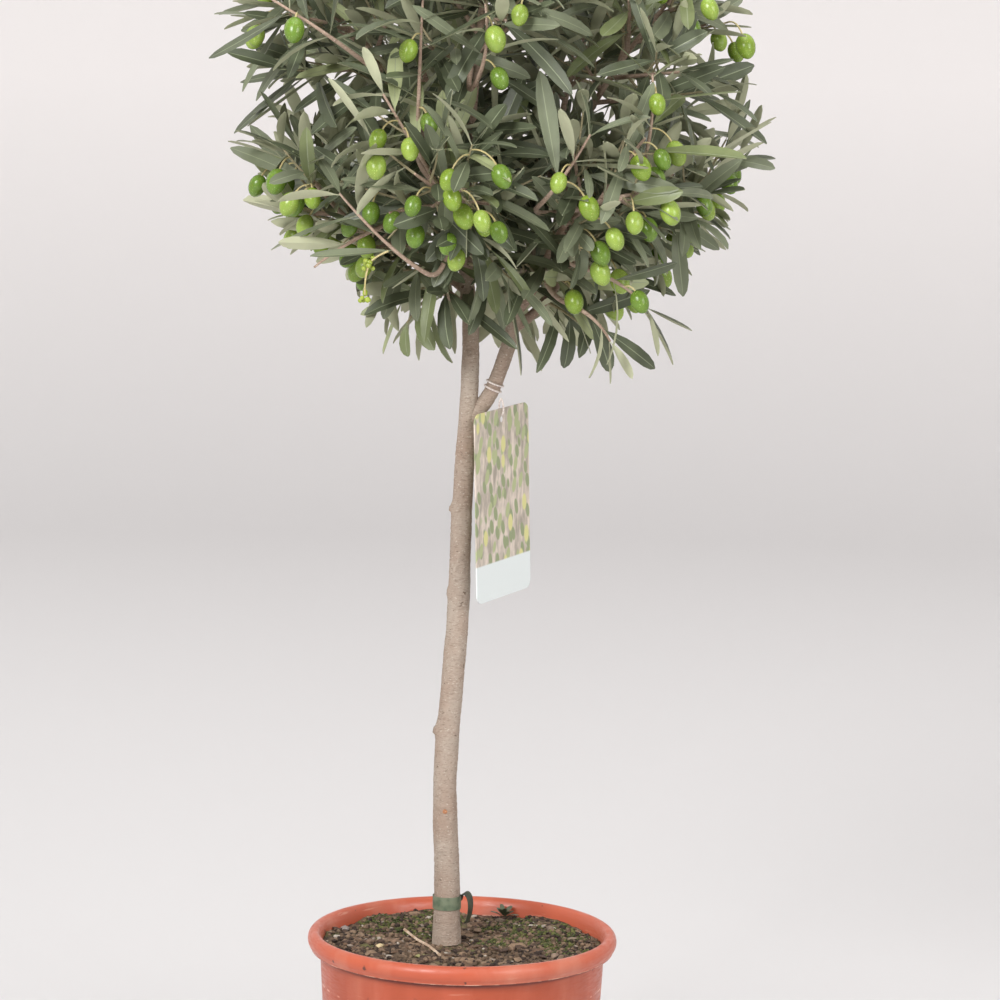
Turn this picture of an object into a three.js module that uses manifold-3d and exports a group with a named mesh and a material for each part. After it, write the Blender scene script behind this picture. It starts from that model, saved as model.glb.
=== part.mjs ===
// A young olive tree grown as a standard: a bare, slightly crooked stem in a round plastic pot of
// compost, forked under a rounded head of narrow leaves and green olives, with a hanging picture
// tag and a tie of green tape. Millimetres, +Z up, the origin at the centre of the pot's underside.

import * as THREE from "three";
import { mergeVertices } from "three/addons/utils/BufferGeometryUtils.js";
import Module from "manifold-3d";

const wasm = await Module();
wasm.setup();

// Driving dimensions
const CLEAR = 0.3; // between pieces that touch
const MERGE_WITHIN = 1e-3; // points this close are one
const UP = new THREE.Vector3(0, 0, 1);
const GOLDEN_ANGLE = Math.PI * (3 - Math.sqrt(5));

const POT = {
  height: 155,
  rimRadius: 100.2,
  rimHeight: 11.5,
  topRadius: 92.3, // of the wall, under the rim
  footRadius: 84,
  wall: 1.8,
  footBend: 3, // the height of the bend between floor and wall
  sides: 36,
  drainHoles: 6,
  drainRadius: 5,
  drainCircle: 58,
};
const SOIL_TOP = 146;
const SOIL_SWELL = 2.2; // how far the compost heaves up and down

// The trunk and the right bough: [across, deep, height, radius], from the ground up.
const TRUNK_LINE = [
  [-10.2, 0, SOIL_TOP + CLEAR, 9.5],
  [-10.4, 0, 163, 8.8],
  [-10.6, 0, 190, 8.2],
  [-12.9, 0, 255, 7.6],
  [-9.4, 1, 312, 7.3],
  [-5.9, 1, 370, 7.1],
  [-4.8, 0, 430, 6.6],
  [-1.5, 0, 500, 5.8],
  [-1.0, 0, 548, 5.3],
  [-7, 4, 610, 4.4],
  [-5, 3, 680, 3.3],
];
const RIGHT_BOUGH_LINE = [
  [-1.5, 0, 486, 5.4],
  [10.6, 0, 502, 4.9],
  [16, -1, 514, 4.8],
  [23.5, -3, 537, 4.7],
  [31, -6, 570, 4.0],
  [43, -12, 625, 3.1],
];
const LIMB_TIP_RADIUS = 2.2;
const BOUGH_FOOT_RADIUS = 3.4;
const BOUGH_LEAN = { out: 0.62, up: 0.36 }; // how far out and up the middle of a bough's arch lies
const STEM_TIP_RADIUS = 1.8;
const STEM_LEAN = 0.45; // of its length, before a stem turns to its tip
const LIMB_SIDES = { trunk: 10, rightBough: 8, bough: 6 };
// Pruning scars on the trunk: [height, turn in degrees (0 is right, -90 is the front), size]
const SCARS = [
  [287, 196, 4.6],
  [294, 250, 3.4],
  [232, 262, 2.6],
  [372, 186, 2.6],
  [431, 192, 3.8],
  [480, 262, 3.4],
  [530, 268, 2.6],
];

// The crown is a ball-shaped space that tapers to its foot, shared out among masses of foliage in
// rings. The taper is a slope this far from the centre, at this tilt under each of the lowest masses.
const CROWN = { centre: [9, 0, 692], reach: [180, 177, 178] };
const TAPER = { reach: 160, tilt: 45 };
// A ring's tilt is up from level, and its first bough leaves its limb at the height given.
const RINGS = [
  { name: "top", count: 1, tilt: 90, start: 0, first: 0, step: 0, droop: 0.02 },
  { name: "high", count: 5, tilt: 31, start: -22, first: 610, step: 15, droop: 0.08 },
  { name: "low", count: 7, tilt: -28, start: 3, first: 546, step: 12, droop: 0.35 },
];
const SEAT_SHARE = 0.62; // of the crown's reach, out to the middle of a mass
const TIP_SHARE = 0.76; // and out to the tip of its stem
const BOUGH_SHARE = 0.4; // of the way to the middle of a mass, where its bough ends
const SPACE_GAP = 1.2; // from a mass to the plane it shares with its neighbour

// Twigs, leaves and fruit. A blade tries each turn about its twig, at full length and then shorter.
const WOOD_ROOM = 3; // from a leaf or twig to the limbs that it doesn't grow from
const TWIG = {
  count: 11,
  first: 0.1, // along the stem
  last: 0.97,
  spreads: [74, 24], // degrees from the stem, at its foot and at its tip
  radius: 1.25,
  tipRadius: 0.9,
  longest: 64,
  shortest: 10,
  step: 4,
};
const LEAF = {
  length: 74,
  width: 19,
  thickness: 1.8,
  widestAt: 0.4,
  sunk: 0.5, // past the middle of the twig
  sag: 0.07, // of its length, at the tip
  spread: 50, // degrees from its twig
  tipSpread: 30,
};
const LEAF_PAIRS = [0.4, 0.96]; // along a twig
const LEAF_LENGTHS = [1, 0.86, 0.74, 0.62];
const LEAF_TURNS = [0, 0.5, -0.5, 1, -1];
const LEAF_ROOM = 0.55; // of a leaf's length, kept free past the end of a twig
const LEAF_APART = 11;
const OLIVE = { radius: 5.6, halfHeight: 8.2, place: 0.72 }; // place is along the twig

// The tag and its string
const TAG = { width: 68, height: 122, thickness: 0.8, corner: 6, hole: 2.2, holeDrop: 7 };
const TAG_HOLE = [19.5, 0, 488.5];
const TAG_TURN = 60; // degrees away from facing the front
const TAG_TILT = 3.5;
const STRING_RADIUS = 0.6;
const STRING_TURNS = [508, 511.5]; // heights on the right bough

// The tape round the foot of the trunk, and the empty loop at its end
const TAPE = { low: 169.5, high: 178, thickness: 0.6, gap: 0.5, loopRadius: 3.4, loopDrop: 5, loopTurn: 12 };

const radians = (degrees) => (degrees * Math.PI) / 180;
const vector = (list) => new THREE.Vector3(list[0], list[1], list[2]);
const mix = (a, b, share) => a + (b - a) * share;

// Numbers that look random and are always the same for the same seed.
function dice(seed) {
  let state = Math.imul(seed + 1, 2654435761) >>> 0;
  return (low, high) => {
    state = (Math.imul(state, 1664525) + 1013904223) >>> 0;
    return low + ((high - low) * state) / 2 ** 32;
  };
}

// A closed geometry as a solid that can be joined and cut.
function solidOf(geometry) {
  const bare = geometry.index ? geometry.toNonIndexed() : geometry.clone();
  bare.deleteAttribute("normal");
  bare.deleteAttribute("uv");
  const merged = mergeVertices(bare, MERGE_WITHIN);
  const corners = merged.index.array;
  const kept = [];
  for (let i = 0; i < corners.length; i += 3) {
    const [a, b, c] = corners.slice(i, i + 3);
    if (a !== b && b !== c && a !== c) kept.push(a, b, c);
  }
  const solid = new wasm.Manifold(
    new wasm.Mesh({
      numProp: 3,
      vertProperties: merged.attributes.position.array,
      triVerts: new Uint32Array(kept),
    }),
  );
  if (solid.volume() <= 0) throw new Error("a piece is inside out");
  return solid;
}

// The largest body of a solid, as a geometry: a loose scrap is dropped and a sealed hollow is filled.
// Points that fall together are merged, which can part a body again, so it is done twice.
function geometryOf(solid) {
  let geometry;
  for (const pass of [solid, null]) {
    const bodies = (pass ?? solidOf(geometry)).decompose().sort((a, b) => b.volume() - a.volume());
    const mesh = bodies[0].getMesh();
    const points = new Float32Array(mesh.numVert * 3);
    for (let i = 0; i < mesh.numVert; i++) {
      points.set(mesh.vertProperties.subarray(i * mesh.numProp, i * mesh.numProp + 3), i * 3);
    }
    geometry = new THREE.BufferGeometry()
      .setAttribute("position", new THREE.BufferAttribute(points, 3))
      .setIndex(new THREE.BufferAttribute(new Uint32Array(mesh.triVerts), 1));
  }
  return geometry;
}

const joined = (solids) => solids.reduce((whole, next) => whole.add(next));

// A skin over rings of points, closed by flat caps. A ring of one point is a tip.
function loft(rings) {
  const corners = [];
  const triangle = (a, b, c) => corners.push(...a, ...b, ...c);
  for (let k = 0; k + 1 < rings.length; k++) {
    const low = rings[k];
    const high = rings[k + 1];
    const sides = Math.max(low.length, high.length);
    for (let i = 0; i < sides; i++) {
      const next = (i + 1) % sides;
      if (low.length > 1) triangle(low[i], low[next], high[next % high.length]);
      if (high.length > 1) triangle(low[i % low.length], high[next], high[i]);
    }
  }
  const first = rings[0];
  const last = rings[rings.length - 1];
  for (let i = 1; i + 1 < first.length; i++) triangle(first[0], first[i + 1], first[i]);
  for (let i = 1; i + 1 < last.length; i++) triangle(last[0], last[i], last[i + 1]);
  return new THREE.BufferGeometry().setAttribute(
    "position",
    new THREE.BufferAttribute(new Float32Array(corners), 3),
  );
}

// A direction square to the one given, kept as close as it can be to an earlier one.
function squareTo(direction, earlier) {
  return earlier.clone().addScaledVector(direction, -earlier.dot(direction)).normalize();
}

// A tapering round limb along a line of places, grown by an extra thickness if that is asked for.
function limbSolid(line, sides, extra = 0) {
  let across = squareTo(line[0].tangent, new THREE.Vector3(0.94, 0.34, 0.1));
  const rings = line.map(({ point, radius, tangent }) => {
    across = squareTo(tangent, across);
    const deep = tangent.clone().cross(across);
    return Array.from({ length: sides }, (_, i) => {
      const turn = (2 * Math.PI * i) / sides;
      return point
        .clone()
        .addScaledVector(across, (radius + extra) * Math.cos(turn))
        .addScaledVector(deep, (radius + extra) * Math.sin(turn));
    });
  });
  return solidOf(loft(rings));
}

// Points with radii, evenly along a smooth line through [across, deep, height, radius] rows.
function smoothLine(rows, steps) {
  const curve = new THREE.CatmullRomCurve3(rows.map(vector), false, "catmullrom", 0.5);
  return Array.from({ length: steps + 1 }, (_, k) => {
    const share = k / steps;
    const place = share * (rows.length - 1);
    const row = Math.min(Math.floor(place), rows.length - 2);
    return {
      point: curve.getPoint(share),
      tangent: curve.getTangent(share),
      radius: mix(rows[row][3], rows[row + 1][3], place - row),
    };
  });
}

// The same along any curve, with an even taper.
const taperLine = (curve, startRadius, endRadius, steps) =>
  Array.from({ length: steps + 1 }, (_, k) => ({
    point: curve.getPoint(k / steps),
    tangent: curve.getTangent(k / steps),
    radius: mix(startRadius, endRadius, k / steps),
  }));

// The place of a rising line at a height.
function atHeight(line, z) {
  const k = Math.max(1, line.findIndex(({ point }) => point.z >= z));
  const [low, high] = [line[k - 1], line[k]];
  const share = (z - low.point.z) / (high.point.z - low.point.z);
  return {
    point: low.point.clone().lerp(high.point, share),
    tangent: low.tangent.clone().lerp(high.tangent, share).normalize(),
    radius: mix(low.radius, high.radius, share),
  };
}

// The outside of the pot's wall at a height.
function potRadius(z) {
  const taper = (POT.topRadius - POT.footRadius) / (POT.height - POT.rimHeight);
  return POT.footRadius + taper * z;
}

// The pot: a thin tapered wall with a rolled rim and a flat, pierced floor.
function potSolid() {
  const { height, rimRadius, rimHeight, topRadius, wall, footBend } = POT;
  const rollTop = rimRadius - (rimRadius - topRadius + wall) / 2;
  const rollWidest = height - 4.6;
  const profile = [
    [0, 0],
    [potRadius(0) - footBend, 0],
    [potRadius(footBend), footBend],
    [topRadius, height - rimHeight + 1],
    [rimRadius - 2.4, height - rimHeight],
    [rimRadius, rollWidest - 1],
    [rimRadius - 1.6, height - 1.2],
    [rollTop, height],
    [potRadius(rollWidest) - wall, rollWidest],
    [potRadius(footBend) - wall, wall],
    [0, wall],
  ].map(([x, y]) => new THREE.Vector2(x, y));
  const shell = new THREE.LatheGeometry(profile, POT.sides).rotateX(Math.PI / 2);
  let pot = solidOf(shell);
  for (let i = 0; i < POT.drainHoles; i++) {
    const turn = (2 * Math.PI * i) / POT.drainHoles;
    const punch = new THREE.CylinderGeometry(POT.drainRadius, POT.drainRadius, 4 * wall, 8)
      .rotateX(Math.PI / 2)
      .translate(POT.drainCircle * Math.cos(turn), POT.drainCircle * Math.sin(turn), 0);
    pot = pot.subtract(solidOf(punch));
  }
  return pot;
}

// How far the compost stands above its mean level: nothing at the trunk's foot.
function soilHeave(x, y) {
  const [trunkX, trunkY] = TRUNK_LINE[0];
  const away = Math.hypot(x - trunkX, y - trunkY);
  const fade = THREE.MathUtils.smoothstep(away, 24, 55);
  return SOIL_SWELL * fade * (Math.sin(x / 17 + 1) * Math.cos(y / 21) + 0.5 * Math.sin(y / 9 + x / 13));
}

// The compost, a plug that fills the pot to just under its rim.
function soilSolid() {
  const inner = (z) => potRadius(z) - POT.wall - CLEAR;
  const floor = POT.wall + CLEAR;
  const edge = inner(SOIL_TOP);
  const profile = [
    [0, floor],
    [inner(POT.footBend), floor],
    [inner(SOIL_TOP - 3), SOIL_TOP - 3],
    [edge * 0.86, SOIL_TOP],
    [edge * 0.62, SOIL_TOP],
    [edge * 0.38, SOIL_TOP],
    [0, SOIL_TOP],
  ].map(([x, y]) => new THREE.Vector2(x, y));
  const plug = new THREE.LatheGeometry(profile, POT.sides / 2).rotateX(Math.PI / 2);
  const places = plug.attributes.position;
  for (let i = 0; i < places.count; i++) {
    if (places.getZ(i) > SOIL_TOP - 1) {
      places.setZ(i, places.getZ(i) + soilHeave(places.getX(i), places.getY(i)));
    }
  }
  return solidOf(plug);
}

// The trunk with its pruning scars, cut flat at the compost.
function trunkSolid(line) {
  const scars = SCARS.map(([height, turn, size]) => {
    const { point, radius } = atHeight(line, height);
    const out = new THREE.Vector3(Math.cos(radians(turn)), Math.sin(radians(turn)), 0);
    const centre = point.clone().addScaledVector(out, radius - size * 0.35);
    const knob = new THREE.SphereGeometry(size, 6, 3).scale(0.8, 0.8, 1);
    return solidOf(knob.translate(...centre));
  });
  return joined([limbSolid(line, LIMB_SIDES.trunk), ...scars]);
}

// The masses of foliage: each has a middle, a direction out of the crown and a reach.
function crownMasses() {
  const centre = vector(CROWN.centre);
  const reach = vector(CROWN.reach);
  return RINGS.flatMap((ring, ringIndex) =>
    Array.from({ length: ring.count }, (_, k) => {
      const seed = ringIndex * 20 + k;
      const roll = dice(seed);
      const turn = radians(ring.start + (360 * k) / ring.count + (ring.count > 1 ? roll(-5, 5) : 0));
      const tilt = radians(ring.tilt + (ring.count > 1 ? roll(-4, 4) : 0));
      const out = new THREE.Vector3(
        Math.cos(turn) * Math.cos(tilt),
        Math.sin(turn) * Math.cos(tilt),
        Math.sin(tilt),
      );
      const size = roll(0.97, 1.07);
      return {
        name: ring.count > 1 ? `${ring.name}_${k + 1}` : ring.name,
        ring,
        seed,
        turn,
        size,
        seat: centre.clone().add(out.clone().multiply(reach).multiplyScalar(SEAT_SHARE)),
        tip: centre.clone().add(out.clone().multiply(reach).multiplyScalar(TIP_SHARE * size)),
      };
    }),
  );
}

const masses = crownMasses();
const massNamed = (name) => masses.find((mass) => mass.name === name);

// Where a mass takes over from its bough: part of the way from the bough's foot to its middle.
const boughEnd = (foot, mass) => foot.clone().lerp(mass.seat, BOUGH_SHARE);

// The trunk and the right bough run on to the mass at their tip.
function limbToMass(rows, mass, steps) {
  const last = rows[rows.length - 1];
  const end = vector(last).lerp(mass.seat, BOUGH_SHARE);
  mass.entry = end;
  return smoothLine([...rows, [end.x, end.y, end.z, LIMB_TIP_RADIUS]], steps);
}

const trunkLine = limbToMass(TRUNK_LINE, massNamed("top"), 26);
const rightBoughLine = limbToMass(RIGHT_BOUGH_LINE, massNamed("high_1"), 14);
massNamed("top").heading = trunkLine[trunkLine.length - 1].tangent;
massNamed("high_1").heading = rightBoughLine[rightBoughLine.length - 1].tangent;

// The other boughs leave the nearer of those two limbs, one above another. Those next to each other
// round the limb are two steps apart in height.
const parentOf = (mass) => (mass.seat.x > 40 ? rightBoughLine : trunkLine);
const boughs = [];
for (const mass of masses) {
  if (mass.entry) continue;
  const beside = masses.filter((other) => other.ring === mass.ring && parentOf(other) === parentOf(mass));
  const order = beside.indexOf(mass);
  const place = order % 2 ? Math.ceil(beside.length / 2) + (order - 1) / 2 : order / 2;
  const foot = atHeight(parentOf(mass), mass.ring.first + mass.ring.step * place).point;
  mass.entry = boughEnd(foot, mass);
  const lean = foot.clone().lerp(mass.entry, BOUGH_LEAN.out);
  lean.z = mix(foot.z, mass.entry.z, BOUGH_LEAN.up);
  const arch = new THREE.QuadraticBezierCurve3(foot, lean, mass.entry);
  mass.heading = arch.getTangent(1);
  const line = taperLine(arch, BOUGH_FOOT_RADIUS, LIMB_TIP_RADIUS, 5);
  boughs.push({ name: `bough_${mass.name}`, line, parent: parentOf(mass) });
}

// The stem of each mass carries on from its limb's tip and leans out to the mass's own tip.
for (const mass of masses) {
  const start = mass.entry.clone().addScaledVector(mass.heading, CLEAR);
  const lean = start.clone().addScaledVector(mass.heading, start.distanceTo(mass.tip) * STEM_LEAN);
  mass.stem = new THREE.QuadraticBezierCurve3(start, lean, mass.tip);
  mass.stemLine = taperLine(mass.stem, LIMB_TIP_RADIUS - 0.1, STEM_TIP_RADIUS, 3);
}

// Is a point clear, by the gap given, of every limb and of the stems of the other masses?
const limbLines = [trunkLine, rightBoughLine, ...boughs.map((bough) => bough.line)];
function clearOfWood(point, gap, mass) {
  const stems = masses.filter((other) => other !== mass).map((other) => other.stemLine);
  return [...limbLines, ...stems].every((line) =>
    line.every((here, k) => {
      const before = line[Math.max(k - 1, 0)].point;
      const near = new THREE.Line3(before, here.point).closestPointToPoint(point, true, new THREE.Vector3());
      return near.distanceTo(point) > here.radius + gap;
    }),
  );
}

// The planes that part a mass from its neighbours, and the slope under it: each faces inwards.
function spacePlanes(mass) {
  const planes = masses
    .filter((other) => other !== mass)
    .map((other) => {
      const inward = mass.seat.clone().sub(other.seat).normalize();
      const half = mass.seat.clone().add(other.seat).multiplyScalar(0.5);
      return new THREE.Plane(inward, -half.dot(inward) - SPACE_GAP);
    });
  if (mass.ring.tilt < 0) {
    const tilt = radians(TAPER.tilt);
    const inward = new THREE.Vector3(
      -Math.cos(mass.turn) * Math.cos(tilt),
      -Math.sin(mass.turn) * Math.cos(tilt),
      Math.sin(tilt),
    );
    planes.push(new THREE.Plane(inward, TAPER.reach - vector(CROWN.centre).dot(inward)));
  }
  return planes;
}
for (const mass of masses) mass.planes = spacePlanes(mass);

// A place in the crown, with its edge at a distance of 1 from the middle.
const inCrown = (point, mass) =>
  point.clone().sub(vector(CROWN.centre)).divide(vector(CROWN.reach)).divideScalar(mass.size);

// Is a point in the space of this mass: inside the crown and on its side of every neighbour?
const inSpace = (point, mass) =>
  inCrown(point, mass).lengthSq() < 1 && mass.planes.every((plane) => plane.distanceToPoint(point) > 0);

// How far a point can travel along a heading before it leaves the space of this mass.
function roomAlong(point, heading, mass) {
  const from = inCrown(point, mass);
  const step = inCrown(point.clone().add(heading), mass).sub(from);
  const half = from.dot(step) / step.lengthSq();
  let room = Math.sqrt(half * half + (1 - from.lengthSq()) / step.lengthSq()) - half;
  for (const plane of mass.planes) {
    const closing = -plane.normal.dot(heading);
    if (closing > 0) room = Math.min(room, plane.distanceToPoint(point) / closing);
  }
  return room;
}

// The twigs of a mass: they leave its stem by the golden angle and end inside its space.
function twigLines(mass) {
  const { stem } = mass;
  const roll = dice(mass.seed + 100);
  const twigs = [];
  let turn = roll(0, 2 * Math.PI);
  for (let k = 0; k < TWIG.count; k++) {
    const share = mix(TWIG.first, TWIG.last, k / (TWIG.count - 1));
    const foot = stem.getPoint(share);
    const along = stem.getTangent(share);
    turn += GOLDEN_ANGLE + roll(-0.3, 0.3);
    const spread = radians(mix(...TWIG.spreads, share) + roll(-8, 8));
    const side = squareTo(along, new THREE.Vector3(0.3, 0.2, 0.93)).applyAxisAngle(along, turn);
    const heading = along.clone().multiplyScalar(Math.cos(spread)).addScaledVector(side, Math.sin(spread));
    const longest = TWIG.longest * roll(0.75, 1);
    let length = Math.min(longest, roomAlong(foot, heading, mass) - LEAF_ROOM * LEAF.length);
    for (let far = 2 * TWIG.step; far < length; far += TWIG.step) {
      const place = foot.clone().addScaledVector(heading, far);
      if (!clearOfWood(place, WOOD_ROOM, mass)) length = far - TWIG.step;
    }
    if (length < TWIG.shortest) continue;
    twigs.push(new THREE.LineCurve3(foot, foot.clone().addScaledVector(heading, length)));
  }
  return twigs;
}

// A leaf: a thin keeled blade of six faces, its root sunk in the twig and its tip bent down.
function leafSolid({ root, heading, face, length, width }) {
  const side = heading.clone().cross(face);
  const at = (along, across, up) =>
    root.clone().addScaledVector(heading, along).addScaledVector(side, across).addScaledVector(face, up);
  const widest = LEAF.widestAt * length;
  const middle = [at(widest, -width / 2, 0), at(widest, width / 2, 0), at(widest, 0, -LEAF.thickness)];
  const tip = at(length, 0, -LEAF.sag * length);
  return solidOf(loft([[at(-LEAF.sunk, 0, 0)], middle, [tip]]));
}

// Points along the outer part of a leaf, which others keep away from.
const leafPlaces = ({ root, heading, length }) =>
  [0.3, 0.5, 0.7, 0.9].map((share) => root.clone().addScaledVector(heading, length * share));

// Does a leaf stay in the space of its mass, clear of the limbs and of the other leaves?
function leafFits(leaf, mass) {
  const { root, heading, face, length, width } = leaf;
  const side = heading.clone().cross(face);
  if (leafPlaces(leaf).some((a) => mass.taken.some((b) => a.distanceTo(b) < LEAF_APART))) return false;
  for (let step = 1; step <= 8; step++) {
    const share = step / 8;
    const middle = root.clone().addScaledVector(heading, length * share);
    const half = (width / 2) * Math.min(share / LEAF.widestAt, (1 - share) / (1 - LEAF.widestAt));
    for (const edge of [-half, half]) {
      const point = middle.clone().addScaledVector(side, edge);
      if (!inSpace(point, mass) || !clearOfWood(point, WOOD_ROOM, mass)) return false;
    }
    middle.addScaledVector(face, -LEAF.sag * length - LEAF.thickness);
    if (!inSpace(middle, mass)) return false;
  }
  return true;
}

// The leaves of a pair at a place on a twig, as far as they fit.
function leafPair(mass, twig, share, order, roll) {
  const root = twig.getPoint(share);
  const along = twig.getTangent(share);
  const first = squareTo(along, new THREE.Vector3(0.2, 0.3, 0.93));
  const turn = (order * Math.PI) / 2 + roll(-0.4, 0.4);
  const leaves = [];
  for (const way of [0, Math.PI]) {
    const spread = radians((share > 0.9 ? LEAF.tipSpread : LEAF.spread) + roll(-10, 10));
    const length = LEAF.length * roll(0.9, 1.1);
    const width = LEAF.width * roll(0.88, 1.1);
    const tries = LEAF_LENGTHS.flatMap((part) =>
      LEAF_TURNS.map((more) => {
        const across = first.clone().applyAxisAngle(along, turn + way + more);
        const heading = along.clone().multiplyScalar(Math.cos(spread));
        heading.addScaledVector(across, Math.sin(spread)).addScaledVector(UP, -mass.ring.droop).normalize();
        const face = squareTo(heading, along.clone().addScaledVector(UP, 0.7));
        return { root, heading, face, length: length * part, width };
      }),
    );
    const leaf = tries.find((tried) => leafFits(tried, mass));
    if (!leaf) continue;
    mass.taken.push(...leafPlaces(leaf));
    leaves.push(leafSolid(leaf));
  }
  return leaves;
}

// An olive hanging under its twig, the top of it grown into the wood.
function olives(mass, twig) {
  const { radius, halfHeight } = OLIVE;
  const centre = twig.getPoint(OLIVE.place).addScaledVector(UP, -halfHeight);
  const reaches = [
    [0, 0, -halfHeight],
    [radius, 0, 0],
    [-radius, 0, 0],
    [0, radius, 0],
    [0, -radius, 0],
  ].map((reach) => centre.clone().add(vector(reach)));
  if (!reaches.every((point) => inSpace(point, mass))) return [];
  if (!clearOfWood(centre, halfHeight + WOOD_ROOM, mass)) return [];
  mass.taken.push(centre);
  const fruit = new THREE.SphereGeometry(1, 5, 3).rotateX(Math.PI / 2);
  return [solidOf(fruit.scale(radius, radius, halfHeight).translate(...centre))];
}

// One mass: its stem, its twigs, and the olives and leaves grown on to them.
function massSolid(mass) {
  const { stem } = mass;
  const twigs = twigLines(mass);
  const roll = dice(mass.seed + 200);
  mass.taken = [];
  const wood = twigs.map((twig) => limbSolid(taperLine(twig, TWIG.radius, TWIG.tipRadius, 1), 3));
  wood.push(limbSolid(mass.stemLine, 4));
  const fruit = twigs.flatMap((twig, k) => (k % 2 === 1 ? olives(mass, twig) : []));
  const leaves = twigs.flatMap((twig, k) =>
    LEAF_PAIRS.flatMap((share, order) => leafPair(mass, twig, share, order + k, roll)),
  );
  leaves.push(...leafPair(mass, stem, 0.99, 0, roll), ...leafPair(mass, stem, 0.99, 1, roll));
  return joined([...wood, ...leaves, ...fruit]);
}

// The picture tag: a stiff rounded card, hung by a hole near its top edge.
function tagSolid() {
  const { width, height, corner, hole, holeDrop, thickness } = TAG;
  const left = -width / 2;
  const right = width / 2;
  const top = holeDrop;
  const bottom = holeDrop - height;
  const card = new THREE.Shape();
  card.moveTo(left + corner, bottom);
  card.absarc(right - corner, bottom + corner, corner, -Math.PI / 2, 0);
  card.absarc(right - corner, top - corner, corner, 0, Math.PI / 2);
  card.absarc(left + corner, top - corner, corner, Math.PI / 2, Math.PI);
  card.absarc(left + corner, bottom + corner, corner, Math.PI, 1.5 * Math.PI);
  card.holes.push(new THREE.Path().absarc(0, 0, hole, 0, 2 * Math.PI, true));
  const plate = new THREE.ExtrudeGeometry(card, { depth: thickness, bevelEnabled: false, curveSegments: 4 });
  plate.translate(0, 0, -thickness / 2);
  plate.rotateZ(radians(TAG_TILT)).rotateX(Math.PI / 2).rotateZ(radians(TAG_TURN));
  return solidOf(plate.translate(...TAG_HOLE));
}

// The string: two turns round the right bough, and a loop through the hole of the tag.
function stringSolid() {
  const turns = STRING_TURNS.map((height) => {
    const { point, tangent, radius } = atHeight(rightBoughLine, height);
    const ring = new THREE.TorusGeometry(radius + CLEAR + STRING_RADIUS + 0.2, STRING_RADIUS, 4, 14);
    ring.applyQuaternion(new THREE.Quaternion().setFromUnitVectors(UP, tangent));
    return solidOf(ring.translate(...point));
  });
  const bough = atHeight(rightBoughLine, STRING_TURNS[0]);
  const hang = squareTo(bough.tangent, new THREE.Vector3(0.85, -0.3, -0.45));
  const knot = bough.point.clone().addScaledVector(hang, bough.radius + CLEAR + STRING_RADIUS + 0.3);
  const square = new THREE.Vector3(Math.sin(radians(TAG_TURN)), -Math.cos(radians(TAG_TURN)), 0);
  const rest = vector(TAG_HOLE).addScaledVector(UP, TAG.hole - STRING_RADIUS - CLEAR);
  const front = rest.clone().addScaledVector(square, 2.2).addScaledVector(UP, 3);
  const back = rest.clone().addScaledVector(square, -2.2).addScaledVector(UP, 3);
  const loop = new THREE.CatmullRomCurve3([knot, front, rest, back], true, "catmullrom", 0.7);
  const section = new THREE.Shape().absarc(0, 0, STRING_RADIUS, 0, 2 * Math.PI);
  const strand = new THREE.ExtrudeGeometry(section, { steps: 16, extrudePath: loop, curveSegments: 3 });
  return joined([...turns, solidOf(strand)]);
}

// The tape: a band round the trunk with an empty loop standing off its right side.
function tapeSolid() {
  const { point, radius } = atHeight(trunkLine, (TAPE.low + TAPE.high) / 2);
  const bandRadius = radius + TAPE.gap;
  const depth = TAPE.high - TAPE.low;
  const ring = (inner, x, y, low, rise) => {
    const outline = new THREE.Shape().absarc(x, y, inner + TAPE.thickness, 0, 2 * Math.PI);
    outline.holes.push(new THREE.Path().absarc(x, y, inner, 0, 2 * Math.PI, true));
    const band = new THREE.ExtrudeGeometry(outline, { depth: rise, bevelEnabled: false, curveSegments: 9 });
    return solidOf(band.translate(0, 0, low));
  };
  const loopAway = bandRadius + TAPE.loopRadius + TAPE.thickness / 2;
  const turn = radians(TAPE.loopTurn);
  const loop = ring(
    TAPE.loopRadius,
    point.x + loopAway * Math.cos(turn),
    point.y + loopAway * Math.sin(turn),
    TAPE.low - TAPE.loopDrop,
    depth + TAPE.loopDrop,
  );
  return joined([ring(bandRadius, point.x, point.y, TAPE.low, depth), loop]);
}

// Finishes
const finish = (color, roughness) => new THREE.MeshStandardMaterial({ color, roughness, metalness: 0 });
const POT_PLASTIC = finish(0xc7664b, 0.5);
const COMPOST = finish(0x5a4a38, 0.95);
const BARK = finish(0xa89884, 0.85);
const YOUNG_BARK = finish(0x9a8574, 0.8);
const FOLIAGE = finish(0x5d6b55, 0.6);
const CARD = finish(0xe8ece6, 0.4);
const STRING = finish(0xe9e2da, 0.6);
const GREEN_TAPE = finish(0x5f7a5c, 0.5);

const plant = new THREE.Group();
function place(name, solid, material) {
  const mesh = new THREE.Mesh(geometryOf(solid), material);
  mesh.name = name;
  plant.add(mesh);
}

const trunk = trunkSolid(trunkLine);
const trunkSpace = limbSolid(trunkLine, LIMB_SIDES.trunk, CLEAR);
const rightBoughSpace = limbSolid(rightBoughLine, LIMB_SIDES.rightBough, CLEAR);

place("pot", potSolid(), POT_PLASTIC);
place("compost", soilSolid(), COMPOST);
place("trunk", trunk, BARK);
place("right_bough", limbSolid(rightBoughLine, LIMB_SIDES.rightBough).subtract(trunkSpace), BARK);
for (const { name, line, parent } of boughs) {
  const space = parent === trunkLine ? trunkSpace : rightBoughSpace;
  place(name, limbSolid(line, LIMB_SIDES.bough).subtract(space), YOUNG_BARK);
}
for (const mass of masses) place(`foliage_${mass.name}`, massSolid(mass), FOLIAGE);
place("tag", tagSolid(), CARD);
place("tag_string", stringSolid(), STRING);
place("tie_tape", tapeSolid(), GREEN_TAPE);

export default plant;
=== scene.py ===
import math

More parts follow.
